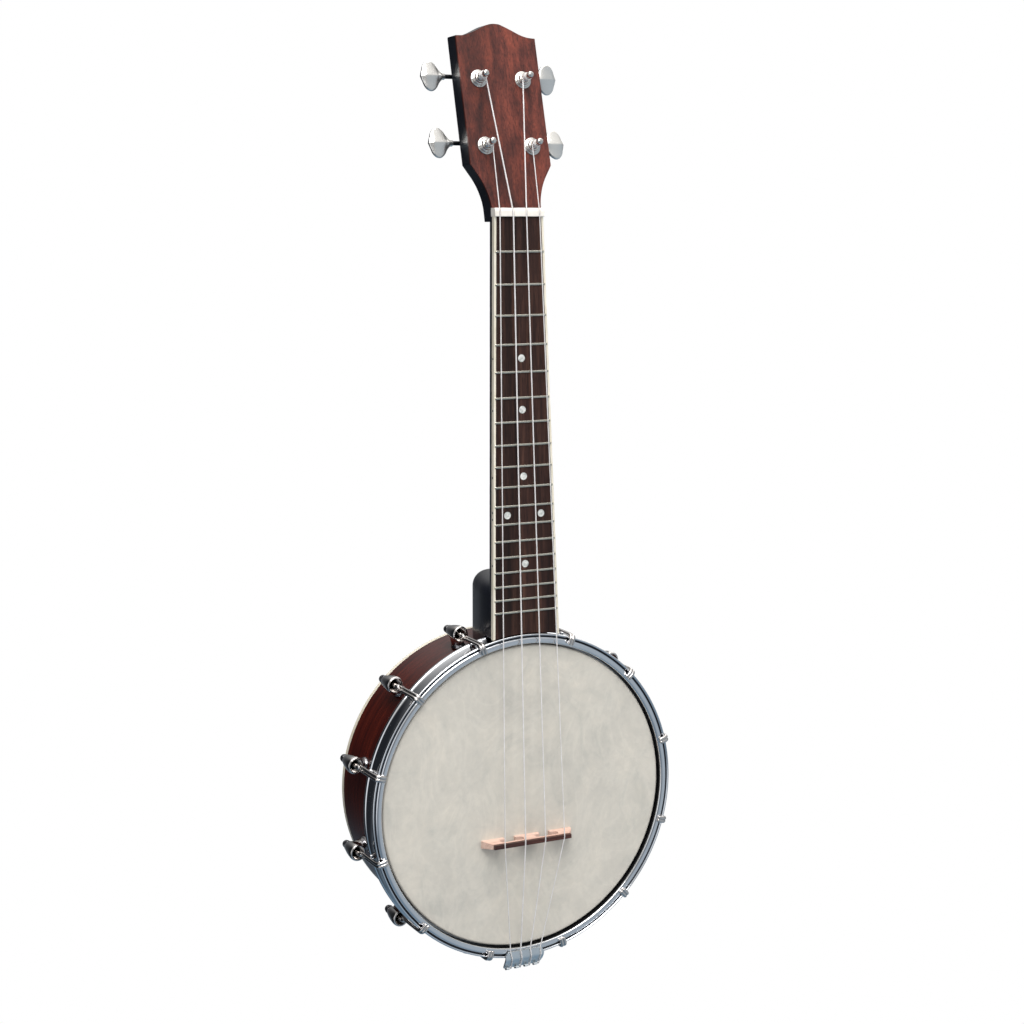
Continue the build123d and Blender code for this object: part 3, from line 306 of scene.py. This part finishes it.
def skin():
    m, nt, bsdf = material("mat_skin")
    v = object_coords(nt)
    big = noise(nt, v, 15.0, 5.0, 0.62, (1, 1, 1), 0.9)
    mid = noise(nt, v, 42.0, 5.0, 0.62, (1, 1, 0.7), 1.3, (0.4, 0.0, 0.2))
    vein = noise(nt, v, 26.0, 4.0, 0.6, (1.0, 1, 0.6), 2.2, (0.9, 0.0, 0.5))
    fine = noise(nt, v, 260.0, 4.0, 0.6, (1, 1, 1), 0.3)
    grain = noise(nt, v, 2200.0, 2.0, 0.5)
    a = ramp(nt, big, [(0.34, srgb(193, 188, 178)), (0.5, srgb(208, 202, 190)), (0.68, srgb(217, 209, 195))])
    b = ramp(nt, mid, [(0.28, srgb(184, 181, 172)), (0.45, srgb(205, 199, 188)), (0.58, srgb(211, 204, 192)), (0.74, srgb(224, 215, 201))])
    c = mix(nt, 0.55, a, b)
    c = mix(nt, 1.0, c, ramp(nt, vein, [(0.44, grey(0.985)), (0.495, grey(1.035)), (0.55, grey(0.985))]), "MULTIPLY")
    c = mix(nt, 1.0, c, ramp(nt, fine, [(0.3, grey(0.955)), (0.7, grey(1.02))]), "MULTIPLY")
    nt.links.new(c, bsdf.inputs["Base Color"])
    nt.links.new(ramp(nt, mid, [(0.3, grey(0.62)), (0.7, grey(0.5))]), bsdf.inputs["Roughness"])
    bsdf.inputs["Specular IOR Level"].default_value = 0.35
    bump(nt, bsdf, mix(nt, 0.4, grain, fine), 0.03 * MM, 0.3)
    return m


M["skin"] = skin()


def paint(obj, mat):
    obj.data.materials.clear()
    obj.data.materials.append(mat)


SLOT_OF = {
    "fretboard": "rosewood", "fretboard_binding": "cream", "side_dots": "black_plastic", "position_dots": "pearl",
    "frets": "fret_metal", "nut": "nut", "headstock_overlay": "head_veneer", "neck": "black_wood",
    "tuner_plates": "black_steel", "tuner_plate_screws": "nickel", "tuner_washers": "nickel", "tuner_bushings": "nickel",
    "rim": "rim_wood", "rim_binding": "cream", "drumhead": "skin", "flesh_hoop": "aluminium", "tension_hoop": "chrome",
    "hooks": "hook_chrome", "bracket_shoes": "hook_chrome", "hook_nuts": "nut_steel", "shoe_screws": "chrome",
    "shoe_washers": "chrome", "coordinator_rod": "chrome", "heel_bolt": "dark_steel", "rod_nuts": "chrome",
    "rod_washers": "chrome", "tail_bolt": "chrome", "tailpiece": "tail_chrome", "bridge": "maple", "bridge_cap": "cap_wood",
    "string_1": "nylon", "string_2": "nylon", "string_3": "nylon", "string_4": "nylon",
}
for t in TUNERS:
    SLOT_OF["string_post_" + t[0]] = "nickel"
    SLOT_OF["worm_wheel_" + t[0]] = "brass"
    SLOT_OF["gear_screw_" + t[0]] = "nickel"
    SLOT_OF["worm_shaft_" + t[0]] = "black_steel"
    SLOT_OF["tuning_button_" + t[0]] = "nickel"
    SLOT_OF["string_wrap_" + t[0]] = "nylon"
for name, obj in N.items():
    paint(obj, M[SLOT_OF[name]])

# ------------------------------------------------------------------- pieces
def catmull(pts, per=6):
    out = []
    n = len(pts)
    for i in range(n - 1):
        p0, p1, p2, p3 = pts[max(i - 1, 0)], pts[i], pts[i + 1], pts[min(i + 2, n - 1)]
        for k in range(per):
            t = k / per
            out.append(tuple(
                0.5 * (2 * b + (c - a) * t + (2 * a - 5 * b + 4 * c - d) * t * t + (3 * b - a - 3 * c + d) * t ** 3)
                for a, b, c, d in zip(p0, p1, p2, p3)
            ))
    out.append(tuple(pts[-1]))
    return out


def arc(cx, cy, r, a0, a1, n=6):
    return [
        (cx + r * math.cos(math.radians(a0 + (a1 - a0) * i / n)), cy + r * math.sin(math.radians(a0 + (a1 - a0) * i / n)))
        for i in range(n + 1)
    ]


def add_mesh(name, verts, faces, mat, sharp=38.0):
    me = bpy.data.meshes.new(name)
    me.from_pydata([tuple(c * MM for c in v) for v in verts], [], faces)
    bm = bmesh.new()
    bm.from_mesh(me)
    bmesh.ops.remove_doubles(bm, verts=bm.verts, dist=2e-6)
    bmesh.ops.recalc_face_normals(bm, faces=bm.faces)
    for f in bm.faces:
        f.smooth = True
    bm.to_mesh(me)
    bm.free()
    me.set_sharp_from_angle(angle=math.radians(sharp))
    me.materials.append(mat)
    obj = bpy.data.objects.new(name, me)
    bpy.context.scene.collection.objects.link(obj)
    return obj


def piece(name, verts, faces, mat, cad, body="instrument", sharp=38.0):
    obj = add_mesh(name, verts, faces, mat, sharp)
    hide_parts(cad)
    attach(obj, body)
    return obj


def lathe(profile, at, seg, closed=True):
    # profile: (radius, height); at(radius, angle, height) gives the point
    verts, faces = [], []
    n = len(profile)
    for j in range(seg):
        a = 2 * math.pi * j / seg
        for r, h in profile:
            verts.append(at(r, a, h))
    last = n if closed else n - 1
    for j in range(seg):
        k = (j + 1) % seg
        for i in range(last):
            i2 = (i + 1) % n
            faces.append((j * n + i, j * n + i2, k * n + i2, k * n + i))
    return verts, faces


def about_pot(r, a, y):
    return pot_pt(r * math.sin(a), y, r * math.cos(a))


def rings_to_faces(count, n, cap=True, offset=0):
    faces = []
    for i in range(count - 1):
        for j in range(n):
            k = (j + 1) % n
            faces.append((offset + i * n + j, offset + i * n + k, offset + (i + 1) * n + k, offset + (i + 1) * n + j))
    if cap:
        faces.append(tuple(offset + j for j in range(n))[::-1])
        faces.append(tuple(offset + (count - 1) * n + j for j in range(n)))
    return faces


def tube(path, radii, side, n=14, flat=1.0):
    # a rod along a path in one plane; side is the plane's normal
    verts = []
    m = len(path)
    for i in range(m):
        p = Vector(path[i])
        d = (Vector(path[min(i + 1, m - 1)]) - Vector(path[max(i - 1, 0)])).normalized()
        u = side.normalized()
        w = d.cross(u)
        for j in range(n):
            a = 2 * math.pi * j / n
            verts.append(p + u * (radii[i] * flat * math.cos(a)) + w * (radii[i] * math.sin(a)))
    return verts, rings_to_faces(m, n)


def join(parts):
    verts, faces = [], []
    for v, f in parts:
        o = len(verts)
        verts += [tuple(p) for p in v]
        faces += [tuple(i + o for i in face) for face in f]
    return verts, faces


def bracket_point(angle):
    a = math.radians(angle)

    def at(t, y, r):
        return pot_pt(t * math.cos(a) + r * math.sin(a), y, -t * math.sin(a) + r * math.cos(a))
    return at


BRACKETS = [s * a for a in BRACKET_ANGLES for s in (1, -1)]


def round_the_brackets(local):
    verts, faces = local
    return join([([bracket_point(a)(*v) for v in verts], faces) for a in BRACKETS])


# tension hoop: lip, two beads with a groove, hollow side, back bead
hoop = [(106.6, 5.6), (103.4, 5.6), (103.4, 3.0), (103.4, 0.0)]
hoop += catmull([(103.4, -1.5), (103.5, -2.1), (103.9, -2.6), (104.6, -2.88), (105.4, -2.99), (106.2, -2.93), (106.9, -2.68),
                 (107.4, -2.2), (107.75, -1.55), (108.05, -1.45), (108.35, -1.8), (108.75, -2.5), (109.2, -2.88), (109.6, -2.75),
                 (109.92, -2.3), (110.0, -1.7), (109.75, -0.9), (109.1, -0.1), (108.6, 1.2), (108.4, 4.8), (108.6, 8.4), (109.1, 9.9),
                 (109.75, 10.6), (110.0, 11.5), (109.85, 12.4), (109.3, 13.05), (108.8, 13.2)], 5)
hoop += [(107.2, 13.2), (106.75, 13.0), (106.6, 12.6)]
v, f = lathe(hoop, about_pot, 480)
ring = piece("tension_hoop_visual", v, f, M["chrome"], "tension_hoop", sharp=55)
ring.data.materials.append(M["hoop_inside"])
for p in ring.data.polygons:
    r_mm, y_mm = math.hypot(p.center.x, p.center.z - POT_Z * MM) / MM, p.center.y / MM - HEAD_Y
    # painted shade: the inner wall and the line down in the groove get a dark metal in place of their shadow and dark
    # reflection
    if (r_mm < 103.7 and y_mm > -1.9) or (107.5 < r_mm < 108.45 and y_mm < -1.2):
        p.material_index = 1

# head: flat skin, tight bend over the rim's edge, collar
head = [(0.0, 0.35), (0.0, 0.0), (30.0, 0.0), (60.0, 0.0), (85.0, 0.0), (97.0, 0.0)]
head += [(100.5 + 1.75 * math.sin(a), 1.75 - 1.75 * math.cos(a)) for a in [0.5 * math.pi * i / 8 for i in range(9)]]
head += [(102.25, 6.0), (102.25, 10.2), (101.9, 10.2), (101.9, 1.75)]
head += [(100.5 + 1.4 * math.sin(a), 1.75 - 1.4 * math.cos(a)) for a in [0.5 * math.pi * (1 - i / 6) for i in range(1, 7)]]
head += [(60.0, 0.35)]
v, f = lathe(head, about_pot, 360)
piece("drumhead_visual", v, f, M["skin"], "drumhead")

# hooks: two rounded ribs over the hoop and down its side, then a rod
rib = catmull([(25.2, 111.25), (22.0, 111.25), (16.0, 111.25), (10.0, 111.25), (4.0, 111.25), (0.5, 111.2), (-1.9, 110.9), (-3.4, 110.1), (-4.15, 108.9),
               (-4.35, 107.4), (-4.35, 106.2), (-4.25, 105.4), (-4.05, 104.9)], 4)
hook_parts = []
for s in (-1, 1):
    path = [(s * 1.02, y, r) for y, r in rib]
    rad = []
    for i, (y, r) in enumerate(rib):
        w = 1.12
        if y < 0.5:
            w = 1.12 + 0.23 * min(1.0, (0.5 - y) / 3.5)
        if i >= len(rib) - 3:
            w *= (0.9, 0.72, 0.42)[i - len(rib) + 3]
        if i < 3:
            w *= (0.55, 0.85, 0.97)[i]
        rad.append(w)
    hook_parts.append(tube(path, rad, Vector((1, 0, 0))))
rod_y = [21.5, 22.5, 24.0, 25.5, 27.5, 31.0, 36.0, 43.6]
rod_path = [(0, y, 111.4 + 0.8 * min(1.0, max(0.0, (y - 22.0) / 3.5))) for y in rod_y]
hook_parts.append(tube(rod_path, [0.9, 1.5, 1.75, 1.82, 1.82, 1.82, 1.82, 1.82], Vector((1, 0, 0)), 20))
v, f = round_the_brackets(join(hook_parts))
piece("hooks_visual", v, f, M["hook_chrome"], "hooks", sharp=60)

# dome nuts: six flats that run into a dome
dome = []
levels = [(43.45, 0.90, 0.0), (43.62, 0.97, 0.0), (43.9, 1.0, 0.0), (44.8, 1.0, 0.0), (45.5, 0.98, 0.10), (45.9, 0.94, 0.45), (46.15, 0.9, 0.85)]
rings = []
for y, k, c in levels:
    rings.append([(y, k, c, j) for j in range(48)])
for y, k, c in levels:
    for j in range(48):
        th = 2 * math.pi * j / 48
        m6 = (th + math.pi / 6) % (math.pi / 3) - math.pi / 6
        hexr = 2.86 / math.cos((th % (math.pi / 3)) - math.pi / 6)
        r = k * hexr * (1 - c) + 2.7 * c
        dome.append((r * math.cos(th), y, HOOK_R + r * math.sin(th)))
count = len(levels)
for i in range(0, 10):
    a = math.radians(9.6 * i)
    for j in range(48):
        th = 2 * math.pi * j / 48
        r = 2.7 * math.cos(a)
        dome.append((r * math.cos(th), 47.4 + 2.7 * math.sin(a), HOOK_R + r * math.sin(th)))
    count += 1
v, f = round_the_brackets((dome, rings_to_faces(count, 48)))
piece("hook_nuts_visual", v, f, M["nut_steel"], "hook_nuts", sharp=50)


# bracket shoes: a bell round the rod that flows into a foot on the rim
def shoe_mesh():
    outer = catmull([(4.15, 26.95), (4.35, 26.62), (4.75, 26.52), (5.2, 26.75), (5.6, 27.5), (5.78, 28.8), (5.65, 30.8), (5.3, 33.4), (4.8, 36.6), (4.15, 39.8), (3.55, 42.2), (3.2, 43.3)], 4)
    bell = [(0.0, 36.5), (2.1, 36.5), (2.1, 31.0), (2.4, 29.6), (3.2, 28.4), (4.0, 27.4)] + outer + [(2.9, 43.4), (0.0, 43.4)]
    bv, bf = lathe(bell, lambda r, a, y: (r * math.cos(a), y, HOOK_R + r * math.sin(a)), 64)
    foot, n = [], 48
    stations = [(101.45, 4.7, 6.0, 37.2), (102.4, 4.7, 6.0, 37.2), (103.0, 4.5, 5.6, 37.1), (103.8, 4.1, 5.2, 37.0), (105.2, 3.9, 4.9, 36.8), (108.5, 3.9, 4.9, 36.6), (110.5, 3.2, 4.2, 36.5)]
    for r, sx_, sy_, yc in stations:
        for j in range(n):
            th = 2 * math.pi * j / n
            foot.append((sx_ * math.cos(th), yc + sy_ * math.sin(th), r))
    v, f = join([(bv, bf), (foot, rings_to_faces(len(stations), n))])
    src = add_mesh("shoe_source", v, f, M["hook_chrome"])
    rm = src.modifiers.new("remesh", "REMESH")
    rm.mode = "VOXEL"
    rm.voxel_size = 0.30 * MM
    sm = src.modifiers.new("smooth", "SMOOTH")
    sm.factor, sm.iterations = 0.5, 7
    dc = src.modifiers.new("decimate", "DECIMATE")
    dc.ratio = 0.35
    dg = bpy.context.evaluated_depsgraph_get()
    got = bpy.data.meshes.new_from_object(src.evaluated_get(dg))
    v = [tuple(c / MM for c in p.co) for p in got.vertices]
    f = [tuple(p.vertices) for p in got.polygons]
    bpy.data.objects.remove(src)
    bpy.data.meshes.remove(got)
    return v, f


v, f = round_the_brackets(shoe_mesh())
shoes = piece("bracket_shoes_visual", v, f, M["hook_chrome"], "bracket_shoes", sharp=75)
# painted shade: the shoe's foot on the rim gets the dark nut metal, standing in for the shade behind the bell
shoes.data.materials.append(M["nut_steel"])
for p in shoes.data.polygons:
    if math.hypot(p.center.x, p.center.z - POT_Z * MM) < 106.5 * MM:
        p.material_index = 1

# tuning buttons: thin winged plates with a ridge along the shaft
B_OUT = [(32.2, 2.1), (34.0, 2.4), (36.2, 4.6), (38.4, 8.0), (41.2, 9.85), (44.2, 9.35), (46.4, 6.9), (47.4, 4.2), (48.0, 2.8), (48.6, 0.6)]
B_PTS = catmull(B_OUT, 5)
SEC = [(-1.0, 0.0, 0.42), (-0.992, 0.5, 0.5), (-0.965, 0.85, 0.75), (-0.92, 1.02, 0.95), (-0.86, 1.1, 1.0), (-0.6, 1.42, 1.0), (-0.3, 1.84, 1.0), (-0.06, 2.28, 1.0),
       (0.0, 2.34, 1.0)]
SEC = SEC + [(-a, t, e) for a, t, e in SEC[-2::-1]]
for name, side, px, ps, turn in TUNERS:
    tb = math.radians(turn)
    wing = HV * math.cos(tb) + HW * math.sin(tb)
    flat = HW * math.cos(tb) - HV * math.sin(tb)
    bo = hs_pt(0, ps + WORM_DS, WORM_N)
    loops = []
    for i, (a, b) in enumerate(B_PTS):
        k = 1.0
        if a > 45.0:
            k = max(0.35, 1.0 - 0.65 * ((a - 45.0) / 3.7) ** 1.8)
        if a < 35.0:
            k = 0.9 + 0.1 * (a - 32.2) / 2.8
        # near the neck the section is round, out on the wings it is a thin plate
        wide = min(1.0, max(0.0, (b - 2.2) / 2.6))
        ring = []
        for u, t, e in SEC:
            thin = t
            rnd = 2.35 * math.sqrt(max(0.0, 1.0 - u * u)) if abs(u) < 1.0 else 0.0
            tt = (thin * wide + rnd * (1 - wide)) * k
            ring.append((u * b, tt))
        full = [(u, t) for u, t in ring] + [(u, -t) for u, t in ring[-2:0:-1]]
        loops.append([bo + X * (side * a) + wing * u + flat * t for u, t in full])
    n = len(loops[0])
    verts = [p for loop in loops for p in loop]
    piece("tuning_button_%s_visual" % name, verts, rings_to_faces(len(loops), n), M["nickel"], "tuning_button_" + name,
          "button_" + name, sharp=48)


# posts, bushings and washers, turned about each post's axis
def about_post(px, ps):
    def at(r, a, n):
        return hs_pt(px + r * math.cos(a), ps + r * math.sin(a), n)
    return at


FOOT_N = WORM_N - 1.3
wash, bush = [], []
for name, side, px, ps, turn in TUNERS:
    at = about_post(side * px, ps)
    post = [(0.0, FOOT_N + 4.6), (1.0, FOOT_N + 4.6), (1.0, FOOT_N), (2.0, FOOT_N), (2.0, FOOT_N + 2.6), (2.5, FOOT_N + 2.6), (2.5, 3.5)]
    post += catmull([(2.45, 3.7), (2.2, 4.2), (1.78, 4.8), (1.75, 5.6), (1.75, 8.2), (1.8, 8.8), (2.05, 9.35), (2.2, 9.9), (2.2, 10.9), (2.12, 11.5),
                     (1.85, 12.15), (1.35, 12.6), (0.7, 12.78), (0.0, 12.8)], 4)
    v, f = lathe(post, at, 64)
    piece("string_post_%s_visual" % name, v, f, M["post_metal"], "string_post_" + name, "post_" + name, sharp=50)
    wash.append(lathe([(4.25, 0.0), (5.8, 0.0), (5.8, 0.3), (5.72, 0.55), (5.5, 0.76), (5.2, 0.88), (4.9, 0.9), (4.25, 0.9)], at, 72))
    bush.append(lathe([(2.55, -12.0), (4.2, -12.0), (4.2, 0.9), (4.75, 0.9), (4.75, 1.4), (4.65, 1.68), (4.4, 1.88), (4.1, 1.97), (3.75, 2.0), (3.6, 2.15), (3.5, 2.7),
                       (3.4, 3.0), (3.2, 3.2), (3.0, 3.25), (2.7, 3.22), (2.55, 3.1)], at, 72))
v, f = join(wash)
piece("tuner_washers_visual", v, f, M["post_metal"], "tuner_washers")
v, f = join(bush)
piece("tuner_bushings_visual", v, f, M["post_metal"], "tuner_bushings")

# frets: smooth crowns whose ends are dressed down
parts = []
for n in range(1, 19):
    fv = -393.2 * (1 - 2 ** (-n / 12))
    w = 17.5 + 6.67 * (-fv) / 271.0 - 0.75
    loops = []
    xs = [(-w, 0.35), (-w + 0.12, 0.68), (-w + 0.4, 0.93), (-w + 0.8, 1.0), (0, 1.0), (w - 0.8, 1.0), (w - 0.4, 0.93), (w - 0.12, 0.68), (w, 0.35)]
    for x, k in xs:
        loop = [(fv + 0.8 * math.cos(a), 0.78 * k * math.sin(a) ** 0.85 if a < math.pi else 0.0) for a in [math.pi * i / 14 for i in range(15)]]
        loop[-1] = (fv - 0.8, 0.0)
        loops.append([neck_pt(x, a_, b_) for a_, b_ in loop])
    m = len(loops[0])
    parts.append(([p for loop in loops for p in loop], rings_to_faces(len(loops), m)))
v, f = join(parts)
piece("frets_visual", v, f, M["fret_metal"], "frets", sharp=60)


# soft edges on the pieces that keep their CAD form
def soften(name, width, segments=2, angle=28):
    b = N[name].modifiers.new("soft_edges", "BEVEL")
    b.width = width * MM
    b.segments = segments
    b.limit_method = "ANGLE"
    b.angle_limit = math.radians(angle)
    b.use_clamp_overlap = True


for name, width in (("nut", 0.18), ("bridge", 0.22), ("bridge_cap", 0.15), ("tailpiece", 0.16), ("tail_bolt", 0.2), ("fretboard_binding", 0.12)):
    soften(name, width)

# ------------------------------------------------------------ camera, light
yaw, pitch, roll = math.radians(26.942), math.radians(8.816), math.radians(0.093)
fwd = Vector((math.sin(yaw) * math.cos(pitch), math.cos(yaw) * math.cos(pitch), -math.sin(pitch)))
right = Vector((math.cos(yaw), -math.sin(yaw), 0))
up = right.cross(fwd)
r2 = right * math.cos(roll) + up * math.sin(roll)
u2 = up * math.cos(roll) - right * math.sin(roll)
cam_data = bpy.data.cameras.new("camera")
cam = bpy.data.objects.new("camera", cam_data)
bpy.context.scene.collection.objects.link(cam)
cam_data.sensor_width = 36.0
cam_data.lens = 1942.4 / 1024 * 36.0
cam_data.clip_start, cam_data.clip_end = 0.05, 40
cam.matrix_world = Matrix.Translation(Vector((-570.16, -1125.76, -14.27)) * MM) @ Matrix((r2, u2, -fwd)).transposed().to_4x4()
bpy.context.scene.camera = cam


def area(name, loc, target, size, power, color=(1, 1, 1)):
    d = bpy.data.lights.new(name, "AREA")
    d.shape = "RECTANGLE"
    d.size, d.size_y = size
    d.energy = power
    d.color = color
    o = bpy.data.objects.new(name, d)
    bpy.context.scene.collection.objects.link(o)
    o.location = loc
    o.rotation_mode = "QUATERNION"
    o.rotation_quaternion = (Vector(target) - Vector(loc)).to_track_quat("-Z", "Y")
    return o


area("key", (-0.55, -1.15, 1.5), (0, 0, -0.3), (1.4, 1.4), KEY)
fill = area("fill", (1.3, -1.3, 0.1), (0, 0, -0.3), (1.0, 1.5), FILL)
fill.visible_glossy = False
area("top", (0.1, -0.1, 1.3), (0, 0, -0.3), (1.4, 1.0), TOP)
area("back", (1.1, 1.1, 0.5), (0, 0, -0.3), (1.0, 1.2), BACK)

world = bpy.data.worlds.new("studio")
bpy.context.scene.world = world
world.use_nodes = True
wt = world.node_tree
wt.nodes.clear()
wo = wt.nodes.new("ShaderNodeOutputWorld")
tc = node(wt, "ShaderNodeTexCoord")
sx = node(wt, "ShaderNodeSeparateXYZ")
wt.links.new(tc.outputs["Generated"], sx.inputs[0])


def toward(direction):
    d = Vector(direction).normalized()
    n = node(wt, "ShaderNodeVectorMath", operation="DOT_PRODUCT")
    wt.links.new(tc.outputs["Generated"], n.inputs[0])
    n.inputs[1].default_value = d
    return n.outputs["Value"]


def span(value, a, b, lo=0.0, hi=1.0):
    n = node(wt, "ShaderNodeMapRange", interpolation_type="SMOOTHSTEP", clamp=True)
    wt.links.new(value, n.inputs[0])
    for i, k in enumerate((a, b, lo, hi)):
        n.inputs[1 + i].default_value = k
    return n.outputs[0]


room = mix(wt, span(sx.outputs[2], 0.05, 0.75), WORLD_BASE, WORLD_TOP)
room = mix(wt, span(sx.outputs[2], 0.0, -0.85), room, WORLD_LOW)
room = mix(wt, span(toward((0.75, -0.6, -0.2)), 0.45, 0.95), room, WORLD_RIGHT)
room = mix(wt, span(toward((-0.80, 0.55, 0.0)), 0.35, 0.85), room, WORLD_DARK)
room = mix(wt, span(toward((-0.86, -0.48, 0.05)), 0.84, 0.96), room, WORLD_LEFT)
seen = node(wt, "ShaderNodeBackground")
wt.links.new(room, seen.inputs[0])
plain = node(wt, "ShaderNodeBackground")
plain.inputs[0].default_value = (1, 1, 1, 1)
plain.inputs[1].default_value = 1.0
pick = node(wt, "ShaderNodeMixShader")
lp = node(wt, "ShaderNodeLightPath")
wt.links.new(lp.outputs["Is Camera Ray"], pick.inputs[0])
wt.links.new(seen.outputs[0], pick.inputs[1])
wt.links.new(plain.outputs[0], pick.inputs[2])
wt.links.new(pick.outputs[0], wo.inputs[0])

# plain pale floor, well below the hanging instrument, as white as the backdrop
bm = bmesh.new()
bmesh.ops.create_circle(bm, cap_ends=True, radius=14.0, segments=96)
me = bpy.data.meshes.new("floor")
bm.to_mesh(me)
bm.free()
floor = bpy.data.objects.new("floor", me)
bpy.context.scene.collection.objects.link(floor)
floor.location = (0, 0, -0.75)
fm, fnt, fb = material("mat_floor")
fcloud = noise(fnt, object_coords(fnt), 1.5, 3.0, 0.5)
fnt.links.new(ramp(fnt, fcloud, [(0.3, grey(0.86)), (0.7, grey(0.90))]), fb.inputs["Base Color"])
fb.inputs["Roughness"].default_value = 0.75
fe = node(fnt, "ShaderNodeEmission")
fe.inputs[0].default_value = (1, 1, 1, 1)
fmix = node(fnt, "ShaderNodeMixShader")
flp = node(fnt, "ShaderNodeLightPath")
fnt.links.new(flp.outputs["Is Camera Ray"], fmix.inputs[0])
fnt.links.new(fb.outputs[0], fmix.inputs[1])
fnt.links.new(fe.outputs[0], fmix.inputs[2])
fout = [n for n in fnt.nodes if n.type == "OUTPUT_MATERIAL"][0]
fnt.links.new(fmix.outputs[0], fout.inputs[0])
floor.data.materials.append(fm)
floor.visible_glossy = False
floor.visible_diffuse = False
floor.visible_shadow = False
bpy.context.scene.view_settings.view_transform = "Standard"
